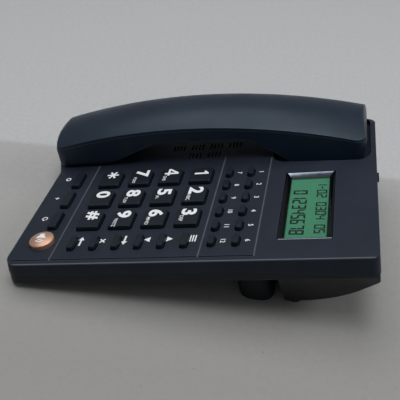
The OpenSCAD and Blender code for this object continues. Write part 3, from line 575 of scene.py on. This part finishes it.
@dataclass(frozen=True)
class Paintbox:
    """Every finish of the telephone, made once and shared."""

    cover: Finish = CoverPlastic("cover_plastic", (0.0126, 0.0157, 0.0264), (0.43, 0.57),
                                 worn=(0.058, 0.070, 0.096), gloss=0.22)
    lower: Finish = Plastic("lower_plastic", (0.0095, 0.0090, 0.0105), (0.45, 0.59),
                            worn=(0.015, 0.015, 0.017))
    handset: Finish = Plastic("handset_plastic", (0.0096, 0.0168, 0.0295), (0.33, 0.43),
                              worn=(0.047, 0.064, 0.095), edge=0.9 * MM, grain=Grain.SATIN, gloss=0.28)
    keys: Finish = Plastic("key_plastic", (0.0042, 0.0070, 0.0120), (0.37, 0.47),
                           worn=(0.021, 0.028, 0.038), edge=0.35 * MM, grain=Grain.SATIN, gloss=0.28)
    socket: Finish = Plastic("socket_plastic", (0.010, 0.010, 0.012), (0.27, 0.33),
                             worn=(0.03, 0.03, 0.034), grain=Grain.GLOSS)
    switch: Finish = Plastic("switch_plastic", (0.12, 0.10, 0.075), (0.37, 0.43),
                             worn=(0.2, 0.17, 0.13), grain=Grain.GLOSS)
    copper: Finish = Metallised("copper_button", (0.55, 0.325, 0.225), (0.336, 0.546), metal=0.72, coat=0.12)
    silver: Finish = BezelCoat("bezel_silver", (0.155, 0.175, 0.21), (0.16, 0.26))
    lens: Finish = ClearLens("clear_lens", (0.40, 0.46, 0.44), (0.03, 0.12))
    cell: Finish = DisplayCell("display", (0.040, 0.195, 0.105), (0.5, 0.62))
    ink: Finish = Ink("legend_ink", (0.80, 0.81, 0.82), (0.42, 0.6), (0.55, 0.57, 0.60))
    liquid: Finish = Ink("display_figures", (0.002, 0.004, 0.003), (0.42, 0.6), (0.005, 0.009, 0.007),
                         gloss=0.05)
    feet: Finish = Rubber("foot_rubber", (0.012, 0.012, 0.013), (0.72, 0.9), (0.0244, 0.0244, 0.0261))
    mat: Finish = Rubber("mat_rubber", (0.10, 0.11, 0.12), (0.72, 0.9), (0.174, 0.191, 0.208))
    steel: Finish = BareMetal("screw_steel", (0.55, 0.56, 0.58), (0.225, 0.405))
    gold: Finish = BareMetal("contact_gold", (0.85, 0.62, 0.25), (0.165, 0.297))
    frame: Finish = BareMetal("speaker_frame", (0.05, 0.05, 0.052), (0.375, 0.675))
    capsule: Finish = BareMetal("capsule_metal", (0.55, 0.56, 0.58), (0.2625, 0.4725))
    board: Finish = CircuitBoard("board", (0.02, 0.11, 0.035), (0.4, 0.2333))

    def mix(self) -> Paint:
        """Make every finish, by the names of the fields."""
        return {name: finish.material() for name, finish in vars(self).items()}


# Shared tools


def corners(points: Sequence[Vector]) -> tuple[Vector, Vector]:
    """Lowest and highest corner of the box round some points."""
    return tuple(Vector(pick(p[i] for p in points) for i in range(3)) for pick in (min, max))


@dataclass
class Deck:
    """The sloped deck's own frame: u to the user's right, v up the slope, h off the deck."""

    slope: float = math.radians(10.2)
    rear: float = 107.5 * MM
    origin: Vector = field(default_factory=Vector)
    matrix: Matrix = field(default_factory=lambda: Matrix.Identity(4))

    def __post_init__(self) -> None:
        """Find the deck from the cover's solid."""
        turn = Matrix.Rotation(self.slope, 4, "X")
        flat = [turn.inverted() @ v.co for v in frame["nodes"]["base_upper"].data.vertices]
        along = max(p.y for p in flat) - self.rear
        self.origin = turn @ Vector((0.0, along, max(p.z for p in flat)))
        self.matrix = Matrix.Translation(self.origin) @ turn

    def span(self, node: str) -> tuple[Vector, Vector]:
        """Lowest and highest corner of a CAD node's box in the deck's frame."""
        back = self.matrix.inverted()
        return corners([back @ v.co for v in frame["nodes"][node].data.vertices])


def add_piece(name: str, mesh: Mesh, body: str, slot: str, material: Material) -> None:
    """Put a new piece in the scene, on its body.

    Args:
        name: Name of the piece.
        mesh: Its mesh, already in the part's frame.
        body: CAD body that carries it.
        slot: Not used.
        material: Its material.
    """
    mesh.materials.append(material)
    piece = add_object(name, mesh)
    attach(piece, body)
    LOG.info("piece %s on %s", name, body)


def add_object(name: str, data: bpy.types.ID) -> Object:
    """Put a mesh, curve, lamp or camera in the scene.

    Args:
        name: Name of the object.
        data: What it shows.

    Returns:
        The new object.
    """
    holder = bpy.data.objects.new(name, data)
    bpy.context.scene.collection.objects.link(holder)
    return holder


@dataclass(frozen=True)
class Coat:
    """A CAD node's finish and its soft edges: their width, steps and smallest angle in degrees."""

    finish: str
    width: float = 0.0
    steps: int = 2
    sharp: float = 32.0
    # Large faces are shaded flat up to their soft edges
    even: bool = True

    def apply(self, node: str, paint: Paint) -> None:
        """Dress a CAD node.

        Args:
            node: Name of the CAD node.
            paint: Every material, by the name of its finish.
        """
        part = frame["nodes"][node]
        part.data.materials.clear()
        part.data.materials.append(paint[self.finish])
        for polygon in part.data.polygons:
            polygon.use_smooth = True
        if self.width:
            weld = part.modifiers.new("weld", "WELD")
            weld.merge_threshold = WELD_GAP
            flat = part.modifiers.new("flat_faces", "DECIMATE")
            flat.decimate_type = "DISSOLVE"
            flat.angle_limit = FLAT_ANGLE
            edge = part.modifiers.new("soft_edges", "BEVEL")
            edge.width = self.width
            edge.segments = self.steps
            edge.limit_method = "ANGLE"
            edge.angle_limit = math.radians(self.sharp)
            clean = part.modifiers.new("clean_corners", "WELD")
            clean.merge_threshold = CLEAN_GAP
        if self.width and self.even:
            shading = part.modifiers.new("even_shading", "WEIGHTED_NORMAL")
            shading.weight = EVEN_WEIGHT
        LOG.info("dressed %s with %s", node, self.finish)


def to_mesh(shape: BMesh, name: str, smooth: bool = False) -> Mesh:
    """Turn a shape into a mesh.

    Args:
        shape: The shape, used up by the call.
        name: Name of the mesh.
        smooth: Shade the faces as one curved surface.

    Returns:
        The mesh.
    """
    for face in shape.faces:
        face.smooth = smooth
    mesh = bpy.data.meshes.new(name)
    shape.to_mesh(mesh)
    shape.free()
    return mesh


def text_mesh(words: str, height: float, bold: float, wide: float = 1.0) -> BMesh:
    """Printed characters, centred on the origin and lying in the XY plane.

    Args:
        words: Characters to print.
        height: Height of a capital letter or figure, in metres.
        bold: Extra weight of the strokes, as a share of the height.
        wide: Stretch of the characters' width.

    Returns:
        A flat shape.
    """
    curve = bpy.data.curves.new("lettering", "FONT")
    curve.body = words
    curve.offset = bold
    curve.resolution_u = CURVE_STEPS
    holder = add_object("lettering", curve)
    bpy.context.view_layer.update()
    flat = bpy.data.meshes.new_from_object(holder.evaluated_get(bpy.context.evaluated_depsgraph_get()))
    bpy.data.objects.remove(holder)
    bpy.data.curves.remove(curve)
    shape = bmesh.new()
    shape.from_mesh(flat)
    bpy.data.meshes.remove(flat)
    shape.transform(Matrix.Diagonal((wide, 1.0, 1.0, 1.0)))
    return fit_shape(shape, height)


def fit_shape(shape: BMesh, height: float) -> BMesh:
    """Scale a flat shape to a height, and centre it.

    Args:
        shape: Flat shape in the XY plane.
        height: Wanted height in metres.

    Returns:
        The same shape.
    """
    low, high = corners([v.co for v in shape.verts])
    factor = height / (high.y - low.y)
    middle = (low + high) / 2
    for v in shape.verts:
        v.co = (v.co - middle) * factor
    return shape


def polygon_shape(outlines: Iterable[Sequence[Point]]) -> BMesh:
    """A flat shape of one or more polygons.

    Args:
        outlines: Corners of each polygon.

    Returns:
        The flat shape.
    """
    shape = bmesh.new()
    for outline in outlines:
        shape.faces.new([shape.verts.new((x, y, 0.0)) for x, y in outline])
    return shape


def ring(radius: float, width: float, start: float, end: float, steps: int = 20,
         middle: Point = (0.0, 0.0)) -> list[list[Point]]:
    """A flat arc band as a row of four-sided polygons.

    Args:
        radius: Radius of the band's middle.
        width: Width of the band.
        start: First angle, in degrees.
        end: Last angle, in degrees.
        steps: Number of polygons.
        middle: Centre of the arc.

    Returns:
        The polygons' corners.
    """
    def spot(r: float, k: int) -> Point:
        """One corner of the band."""
        a = math.radians(start + (end - start) * k / steps)
        return middle[0] + r * math.cos(a), middle[1] + r * math.sin(a)

    inner, outer = radius - width / 2, radius + width / 2
    return [[spot(inner, k), spot(outer, k), spot(outer, k + 1), spot(inner, k + 1)] for k in range(steps)]


class Print:
    """Ink shapes gathered on one surface and turned into a single piece."""

    MERGE_GAP = 1e-7
    RAY_START = 10 * MM

    def __init__(self, deck: Deck, thickness: float = 0.03 * MM) -> None:
        """Start with no ink.

        Args:
            deck: Frame that the ink is placed in.
            thickness: Thickness of the ink in metres.
        """
        self.deck = deck
        self.thickness = thickness
        self.shape = bmesh.new()

    def add(self, flat: BMesh, spot: Place, onto: str = "") -> None:
        """Lay a flat shape on the deck's frame and give it thickness.

        Args:
            flat: Flat shape in the XY plane, used up by the call.
            spot: Middle of its underside, as u, v and h.
            onto: CAD node with a crown that the shape follows, if any.
        """
        bmesh.ops.remove_doubles(flat, verts=flat.verts, dist=self.MERGE_GAP)
        if onto:
            self.drape(flat, spot, onto)
        raised = bmesh.ops.extrude_face_region(flat, geom=list(flat.faces))
        tops = [g for g in raised["geom"] if isinstance(g, BMVert)]
        bmesh.ops.translate(flat, verts=tops, vec=(0.0, 0.0, self.thickness))
        bmesh.ops.recalc_face_normals(flat, faces=flat.faces)
        flat.transform(self.deck.matrix @ Matrix.Translation(spot))
        mesh = to_mesh(flat, "ink")
        self.shape.from_mesh(mesh)
        bpy.data.meshes.remove(mesh)

    def drape(self, flat: BMesh, spot: Place, onto: str) -> None:
        """Lower each point of a flat shape by the fall of a node's crown.

        Args:
            flat: Flat shape in the XY plane.
            spot: Middle of its underside at the crown's top, as u, v and h.
            onto: CAD node with the crown.
        """
        mesh = frame["nodes"][onto].data
        back = self.deck.matrix.inverted()
        crown = BVHTree.FromPolygons([back @ p.co for p in mesh.vertices],
                                     [p.vertices for p in mesh.polygons])
        top = self.deck.span(onto)[1].z
        for point in flat.verts:
            above = Vector(spot) + Vector((point.co.x, point.co.y, self.RAY_START))
            hit = crown.ray_cast(above, Vector((0, 0, -1)))[0]
            point.co.z = hit.z - top if hit else 0.0

    def finish(self, name: str, body: str, slot: str, ink: Material) -> None:
        """Put the ink in the scene as one piece, on the body that carries it."""
        add_piece(name, to_mesh(self.shape, name), body, slot, ink)


# Sub-assemblies


Coats = ClassVar[dict[str, Coat]]


@dataclass
class Assembly:
    """A sub-assembly, with the deck that places its ink and the materials that finish it."""

    # Coats of its CAD nodes, by what their names start with
    COATS: Coats = {}

    deck: Deck
    paint: Paint

    def dress(self) -> None:
        """Finish the CAD nodes."""
        for start, coat in self.COATS.items():
            for node in frame["nodes"]:
                if node.startswith(start):
                    coat.apply(node, self.paint)


class BaseShell(Assembly):
    """Cover, lower shell, stand leg, feet and the pieces inside."""

    COATS: Coats = {
        "base_upper": Coat("cover", 0.55 * MM, 3), "base_lower": Coat("lower", 0.6 * MM),
        "stand_leg": Coat("lower", 0.8 * MM), "front_feet": Coat("feet", 0.4 * MM),
        "rear_feet": Coat("feet", 0.4 * MM), "base_screws": Coat("steel", 0.2 * MM),
        "hook_plunger": Coat("lower", 0.3 * MM), "ringer_slider": Coat("keys", 0.3 * MM),
        "line_jack": Coat("socket", 0.15 * MM), "handset_jack": Coat("socket", 0.15 * MM),
        "circuit_board": Coat("board"), "keypad_mat": Coat("mat"), "loudspeaker": Coat("frame"),
        "hook_switch": Coat("switch"), "ringer_switch": Coat("switch")}


@dataclass
class Keypad(Assembly):
    """Digit, function, memory and line keys, the speaker button, and their printed marks."""

    digit_height: float = 8.8 * MM
    digit_bold: float = 0.035
    digit_wide: float = 1.22
    digit_shift: Point = (-3.9 * MM, 0.3 * MM)
    one_shift: float = 2.2 * MM
    letter_height: float = 2.2 * MM
    letter_bold: float = 0.008
    letter_gap: float = 0.35 * MM
    letter_drop: float = -3.2 * MM
    key_rim: float = 1.0 * MM
    mark_height: float = 2.8 * MM
    mark_bold: float = 0.012
    icon_height: float = 3.5 * MM
    function_shift: Point = (-2.6 * MM, 4.1 * MM)
    memory_keys: int = 12
    memory_shift: Point = (-0.7 * MM, 6.1 * MM)
    line_shift: Point = (-3.4 * MM, -8.6 * MM)
    sign_height: float = 6.6 * MM
    sign_cuts: int = 3
    lift: float = 0.012 * MM

    DIGITS: ClassVar[dict[str, tuple[str, str]]] = {
        "key_1": ("1", ""), "key_2": ("2", "ABC"), "key_3": ("3", "DEF"), "key_4": ("4", "GHI"),
        "key_5": ("5", "JKL"), "key_6": ("6", "MNO"), "key_7": ("7", "PQRS"), "key_8": ("8", "TUV"),
        "key_9": ("9", "WXYZ"), "key_star": ("*", ""), "key_0": ("0", ""), "key_hash": ("#", "")}
    SIGN_SHARES: ClassVar[dict[str, float]] = {"*": 0.86, "#": 0.9}
    KEY: ClassVar[Coat] = Coat("keys", 0.45 * MM, 3)
    COATS: Coats = {"key_": KEY, "func_key": KEY, "memory_key": KEY, "line_key": KEY,
                    "speaker_button": Coat("copper", 0.5 * MM, 3)}

    def place(self, node: str) -> Place:
        """Middle of a key's top, as u, v and h."""
        low, high = self.deck.span(node)
        return (low.x + high.x) / 2, (low.y + high.y) / 2, high.z

    def build_digits(self) -> None:
        """Print a figure and its letters on each digit key."""
        drawn = {"1": self.one_figure, "4": self.four_figure, "*": self.star_figure}
        for node, (digit, letters) in self.DIGITS.items():
            u, v, top = self.place(node)
            du, dv = self.digit_shift
            if digit == "1":
                du += self.one_shift
            height = self.digit_height * self.SIGN_SHARES.get(digit, 1.0)
            if digit in drawn:
                figure = fit_shape(drawn[digit](), height)
            else:
                figure = text_mesh(digit, height, self.digit_bold, self.digit_wide)
            right = max(c.co.x for c in figure.verts)
            sheet = Print(self.deck)
            sheet.add(figure, (u + du, v + dv, top + self.lift))
            if letters:
                start = u + du + right + self.letter_gap
                room = self.deck.span(node)[1].x - self.key_rim - start
                words = text_mesh(letters, self.letter_height, self.letter_bold)
                long = 2 * max(c.co.x for c in words.verts)
                words.transform(Matrix.Diagonal((min(1.0, room / long), 1.0, 1.0, 1.0)))
                sheet.add(words, (start + min(long, room) / 2, v + self.letter_drop, top + self.lift))
            sheet.finish(f"legend_{node}", node, "key_plastic", self.paint["ink"])

    def build_deck_marks(self) -> None:
        """Print the marks beside the function, memory and line keys."""
        icons = {"func_key_1": self.list_icon(), "func_key_2": self.triangle_icon(1.0),
                 "func_key_3": self.triangle_icon(-1.0), "func_key_4": self.arrow_icon(1.0),
                 "func_key_5": self.burst(4, 0.2, 45.0), "func_key_6": self.arrow_icon(-1.0)}
        signs = {"line_key_1": self.circle_icon(), "line_key_2": self.spark_icon(),
                 "line_key_3": self.round_arrow_icon()}
        for shape in (*icons.values(), *signs.values()):
            fit_shape(shape, self.icon_height)
        numbers = {f"memory_key_{i}": text_mesh(str(i), self.mark_height, self.mark_bold)
                   for i in range(1, self.memory_keys + 1)}
        for name, marks, (du, dv) in (("function_marks", icons, self.function_shift),
                                      ("memory_marks", numbers, self.memory_shift),
                                      ("line_marks", signs, self.line_shift)):
            sheet = Print(self.deck)
            for node, shape in marks.items():
                u, v, _ = self.place(node)
                sheet.add(shape, (u + du, v + dv, self.lift))
            sheet.finish(name, "base", "key_plastic", self.paint["ink"])

    def build_speaker_mark(self) -> None:
        """Print a plain loudspeaker sign on the round button's crown."""
        u, v, top = self.place("speaker_button")
        shape = fit_shape(self.speaker_icon(), self.sign_height)
        bmesh.ops.subdivide_edges(shape, edges=shape.edges, cuts=self.sign_cuts, use_grid_fill=True)
        sheet = Print(self.deck)
        sheet.add(shape, (u, v, top + self.lift), "speaker_button")
        sheet.finish("speaker_mark", "speaker_button", "copper_button", self.paint["ink"])

    @staticmethod
    def one_figure() -> BMesh:
        """The figure one, with its flag."""
        return polygon_shape([[(0.0, 0.0), (0.26, 0.0), (0.26, 1.4), (0.05, 1.4), (-0.05, 1.25), (0.0, 1.0)],
                              [(-0.05, 1.25), (-0.28, 1.12), (-0.28, 0.9), (0.0, 1.0)]])

    @staticmethod
    def four_figure() -> BMesh:
        """The figure four, with an open triangle.

        Returns:
            The flat shape.
        """
        low, high, top, notch = 0.30, 0.53, 1.40, 1.05
        tip, slant, left, right, end = -0.15, 0.13, 0.52, 0.78, 1.0
        return polygon_shape([
            [(left, 0.0), (right, 0.0), (right, low), (left, low)],
            [(tip, low), (left, low), (right, low), (end, low), (end, high),
             (right, high), (left, high), (slant, high), (tip, high)],
            [(left, high), (right, high), (right, top), (left, top), (left, notch)],
            [(tip, high), (slant, high), (left, notch), (left, top)]])

    @staticmethod
    def star_figure() -> BMesh:
        """The star of six arms."""
        return Keypad.burst(6, 0.17, 90.0)

    @staticmethod
    def burst(arms: int, half: float, turn: float) -> BMesh:
        """Crossed bars as one outline.

        Args:
            arms: Number of arms round the middle.
            half: Half the width of an arm, as a share of its length.
            turn: Direction of the first arm, in degrees.

        Returns:
            The flat shape.
        """
        step = math.tau / arms
        lean = math.atan(half)
        inner, outer = half / math.sin(step / 2), math.hypot(1.0, half)
        outline: list[Point] = []
        for k in range(arms):
            a = math.radians(turn) + k * step
            for r, t in ((inner, a - step / 2), (outer, a - lean), (outer, a + lean)):
                outline.append((r * math.cos(t), r * math.sin(t)))
        return polygon_shape([outline])

    @staticmethod
    def triangle_icon(way: float) -> BMesh:
        """A solid triangle that points up (1) or down (-1)."""
        return polygon_shape([[(-1.1, -0.9 * way), (1.1, -0.9 * way), (0.0, 0.9 * way)]])

    @staticmethod
    def arrow_icon(way: float) -> BMesh:
        """An arrow that points to the right (1) or left (-1)."""
        return polygon_shape([[(-2.2 * way, -0.3), (0.6 * way, -0.3), (0.6 * way, 0.3), (-2.2 * way, 0.3)],
                              [(0.6 * way, -1.0), (2.2 * way, 0.0), (0.6 * way, 1.0)]])

    @staticmethod
    def list_icon() -> BMesh:
        """Three lines of a list."""
        return polygon_shape([[(-1.6, y - 0.2), (1.6, y - 0.2), (1.6, y + 0.2), (-1.6, y + 0.2)]
                              for y in (-0.8, 0.0, 0.8)])

    @staticmethod
    def circle_icon() -> BMesh:
        """A plain circle."""
        return polygon_shape(ring(1.0, 0.5, 0, 360, 24))

    @staticmethod
    def spark_icon() -> BMesh:
        """A short spark."""
        return polygon_shape([[(-0.9, -0.1), (0.5, 1.2), (0.1, 0.1)],
                              [(0.9, 0.1), (-0.5, -1.2), (-0.1, -0.1)],
                              [(-0.9, -0.1), (0.1, 0.1), (-0.1, -0.1)],
                              [(0.9, 0.1), (-0.1, -0.1), (0.1, 0.1)]])

    @staticmethod
    def round_arrow_icon() -> BMesh:
        """A round arrow."""
        return polygon_shape([*ring(1.0, 0.4, 30, 330, 24), [(0.55, -0.5), (1.5, -0.5), (1.0, 0.35)]])

    @staticmethod
    def speaker_icon() -> BMesh:
        """A loudspeaker's box and cone with two waves of sound.

        Returns:
            The flat shape.
        """
        box = [(-1.0, -0.5), (-0.4, -0.5), (-0.4, 0.5), (-1.0, 0.5)]
        cone = [(-0.4, -0.5), (0.4, -1.1), (0.4, 1.1), (-0.4, 0.5)]
        thick, spread, source = 0.22, 48, (0.35, 0.0)
        near = ring(0.55, thick, -spread, spread, 8, source)
        far = ring(1.05, thick, -spread, spread, 10, source)
        return polygon_shape([box, cone, *near, *far])


@dataclass
class Display(Assembly):
    """Bezel, window, green cell and its figures."""

    upper_line: str = "1-02 0304 05"
    lower_line: str = "012345678"
    upper_height: float = 5.9 * MM
    upper_start: Point = (1.5 * MM, 74.0 * MM)
    upper_end: float = 51.0 * MM
    lower_height: float = 8.1 * MM
    lower_start: Point = (9.5 * MM, 60.8 * MM)
    lower_end: float = 51.8 * MM
    stroke: float = 0.145
    fill: float = 0.86
    share: float = 0.95
    lean: float = 0.05
    figure_depth: float = 0.05 * MM
    figure_lift: float = 0.01 * MM

    COATS: Coats = {"lcd_bezel": Coat("silver", 0.15 * MM, even=False), "lcd_lens": Coat("lens"),
                    "lcd_panel": Coat("cell")}

    def bar(self, segment: Segment, width: float, height: float, half: float) -> list[Point]:
        """Outline of one bar, mitred where it meets the next.

        Args:
            segment: Which of the seven bars.
            width: Width of the figure, between the upright bars' middles.
            height: Height of the figure, between the level bars' middles.
            half: Half the width of a bar.

        Returns:
            Corners of the bar.
        """
        waist = height / 2
        if segment is Segment.MIDDLE:
            outline = [(0.0, waist), (half, waist + half), (width - half, waist + half),
                       (width, waist), (width - half, waist - half), (half, waist - half)]
        elif segment in (Segment.TOP, Segment.BOTTOM):
            outline = [(-half, height + half), (width + half, height + half),
                       (width - half, height - half), (half, height - half)]
        else:
            outline = [(-half, height + half), (half, height - half), (half, waist + half),
                       (0.0, waist), (-half, waist)]
        if segment in (Segment.BOTTOM, Segment.LOWER_LEFT, Segment.LOWER_RIGHT):
            outline = [(x, height - y) for x, y in outline]
        if segment in (Segment.UPPER_RIGHT, Segment.LOWER_RIGHT):
            outline = [(width - x, y) for x, y in outline]
        cx = sum(x for x, _ in outline) / len(outline)
        cy = sum(y for _, y in outline) / len(outline)
        drawn_in = [(cx + self.share * (x - cx), cy + self.share * (y - cy)) for x, y in outline]
        return [(x + self.lean * y, y) for x, y in drawn_in]

    def build(self) -> None:
        """Draw both lines of figures on the cell."""
        top = self.deck.span("lcd_panel")[1].z + self.figure_lift
        sheet = Print(self.deck, self.figure_depth)
        rows = ((self.upper_line, self.upper_start, self.upper_end, self.upper_height),
                (self.lower_line, self.lower_start, self.lower_end, self.lower_height))
        for words, (u, v), end, height in rows:
            pitch = (end - u) / len(words)
            stroke = height * self.stroke
            width = pitch * self.fill - stroke
            for i, sign in enumerate(words):
                bars = [self.bar(Segment(letter), width, height - stroke, stroke / 2)
                        for letter in FIGURES.get(sign, "")]
                if bars:
                    sheet.add(polygon_shape(bars), (u + i * pitch, v + stroke / 2, top))
        sheet.finish("display_figures", "base", "display", self.paint["liquid"])


class Handset(Assembly):
    """Both halves of the handset and what shows through their openings."""

    COATS: Coats = {
        "handset_back": Coat("handset", 1.4 * MM, 4, 28.0), "handset_front": Coat("handset", 0.8 * MM, 3),
        "handset_socket": Coat("socket", 0.15 * MM), "handset_screws": Coat("steel"),
        "handset_weight": Coat("steel"), "receiver_capsule": Coat("capsule"),
        "mic_capsule": Coat("capsule")}


@dataclass
class Contacts(Assembly):
    """Sprung gold wires inside the three cord sockets."""

    count: int = 4
    sides: int = 8
    pitch: float = 1.02 * MM
    wire: float = 0.23 * MM
    length: float = 7.0 * MM
    droop: float = 2.6 * MM
    roof: float = 3.3 * MM
    root: float = 0.6 * MM
    bend: Point = (1.2 * MM, 0.3 * MM)

    # Places along a wire, as shares of its length and of its droop
    COURSE: ClassVar[tuple[Point, ...]] = ((0.4, 0.45), (0.8, 0.9), (1.0, 1.0))

    def mouths(self) -> dict[str, tuple[str, Matrix]]:
        """Mouths of the sockets, with x out of the socket and z up.

        Returns:
            For each socket's node, its body and the frame of its mouth.
        """
        def turned(x: float, y: float, z: float, degrees: float) -> Matrix:
            """A place, and a turn about its upright axis."""
            return Matrix.Translation((x, y, z)) @ Matrix.Rotation(math.radians(degrees), 4, "Z")

        low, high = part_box("line_jack")
        line = turned((low.x + high.x) / 2, high.y, (low.z + high.z) / 2, 90)
        low, high = self.deck.span("handset_jack")
        jack = self.deck.matrix @ turned(low.x, (low.y + high.y) / 2, (low.z + high.z) / 2, 180)
        low, high = self.deck.span("handset_socket")
        nose = self.deck.matrix @ turned((low.x + high.x) / 2, low.y, (low.z + high.z) / 2, -90)
        return {"line_jack": ("base", line), "handset_jack": ("base", jack),
                "handset_socket": ("handset", nose)}

    def build(self) -> None:
        """Make the wires of every socket, as one piece for each."""
        for node, (body, mouth) in self.mouths().items():
            self.build_wires(f"{node}_contacts", body, mouth)

    def build_wires(self, name: str, body: str, mouth: Matrix) -> None:
        """Make the wires of one socket.

        Args:
            name: Name of the piece.
            body: Body that carries the socket.
            mouth: Frame of the socket's mouth.
        """
        shape = bmesh.new()
        path = [(-self.root, self.roof), (-self.bend[0], self.roof - self.bend[1])]
        path += [(-a * self.length, self.roof - b * self.droop) for a, b in self.COURSE]
        angles = [math.tau * i / self.sides for i in range(self.sides)]
        for k in range(self.count):
            y = (k - (self.count - 1) / 2) * self.pitch
            rings = [[shape.verts.new((x, y + self.wire * math.cos(a), z + self.wire * (math.sin(a) - 1)))
                      for a in angles] for x, z in path]
            for first, second in zip(rings, rings[1:]):
                for i in range(self.sides):
                    shape.faces.new((first[i], first[i - 1], second[i - 1], second[i]))
            shape.faces.new(rings[0])
            shape.faces.new(list(reversed(rings[-1])))
        bmesh.ops.recalc_face_normals(shape, faces=shape.faces)
        shape.transform(mouth)
        add_piece(name, to_mesh(shape, name, smooth=True), body, "screw_steel", self.paint["gold"])


# Studio


@dataclass(frozen=True)
class Lamp:
    """A round soft lamp that shines on the origin."""

    name: str
    spot: Place
    size: float
    power: float
    colour: Colour = (0.97, 0.98, 1.0)

    def build(self) -> None:
        """Hang the lamp."""
        lamp = bpy.data.lights.new(self.name, "AREA")
        lamp.shape = "DISK"
        lamp.size = self.size
        lamp.energy = self.power
        lamp.color = self.colour
        holder = add_object(self.name, lamp)
        holder.location = self.spot
        holder.rotation_euler = (-Vector(self.spot)).to_track_quat("-Z", "Y").to_euler()


@dataclass
class Studio:
    """Floor, lights and the camera at the photograph's angle."""

    lens: float = 63.0
    sensor: float = 36.0
    clip: float = 0.01
    eye: Place = (343.87 * MM, 67.03 * MM, 269.33 * MM)
    forward: Place = (-0.80146, -0.14695, -0.57971)
    floor_half: float = 2.5
    floor_squares: int = 12
    paper: Finish = FloorPaper("floor", (0.286, 0.275, 0.263), (0.7, 0.7))
    sky: Colour = (0.93, 0.97, 1.0)
    fill: float = 0.24
    lamps: tuple[Lamp, ...] = (Lamp("key", (-0.30, -0.30, 1.32), 1.3, 9.2, (0.96, 0.98, 1.0)),
                               Lamp("top", (0.30, 0.20, 1.40), 0.7, 6.4),
                               Lamp("side", (-0.05, 1.10, 0.70), 0.7, 4.0))

    def build_floor(self) -> None:
        """Lay a plain pale floor, with painted light that makes it lighter at the far side."""
        shape = bmesh.new()
        bmesh.ops.create_grid(shape, x_segments=self.floor_squares, y_segments=self.floor_squares,
                              size=self.floor_half)
        floor = add_object("floor", to_mesh(shape, "floor"))
        floor.data.materials.append(self.paper.material())

    def build_lights(self) -> None:
        """Set a soft world and three large soft lamps."""
        world = bpy.data.worlds.new("studio")
        bpy.context.scene.world = world
        world.use_nodes = True
        back = world.node_tree.nodes["Background"]
        back.inputs["Color"].default_value = (*self.sky, 1.0)
        back.inputs["Strength"].default_value = self.fill
        for lamp in self.lamps:
            lamp.build()

    def build_camera(self, deck: Deck) -> None:
        """Place the camera.

        Args:
            deck: The deck's frame, which the camera was fitted to.
        """
        data = bpy.data.cameras.new("camera")
        data.lens = self.lens
        data.sensor_width = self.sensor
        data.clip_start = self.clip
        camera = add_object("camera", data)
        camera.location = Vector((self.eye[0], deck.origin.y + self.eye[1], self.eye[2]))
        camera.rotation_euler = Vector(self.forward).to_track_quat("-Z", "Y").to_euler()
        bpy.context.scene.camera = camera
        bpy.context.scene.view_settings.view_transform = "Standard"


def main() -> None:
    """Build the looks in order."""
    logging.basicConfig(level=logging.INFO, format="%(message)s")
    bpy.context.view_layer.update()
    deck = Deck()
    paint = Paintbox().mix()
    BaseShell(deck, paint).dress()
    keypad = Keypad(deck, paint)
    keypad.dress()
    keypad.build_digits()
    keypad.build_deck_marks()
    keypad.build_speaker_mark()
    display = Display(deck, paint)
    display.dress()
    display.build()
    Handset(deck, paint).dress()
    Contacts(deck, paint).build()
    studio = Studio()
    studio.build_floor()
    studio.build_lights()
    studio.build_camera(deck)


if __name__ == "__main__":
    main()
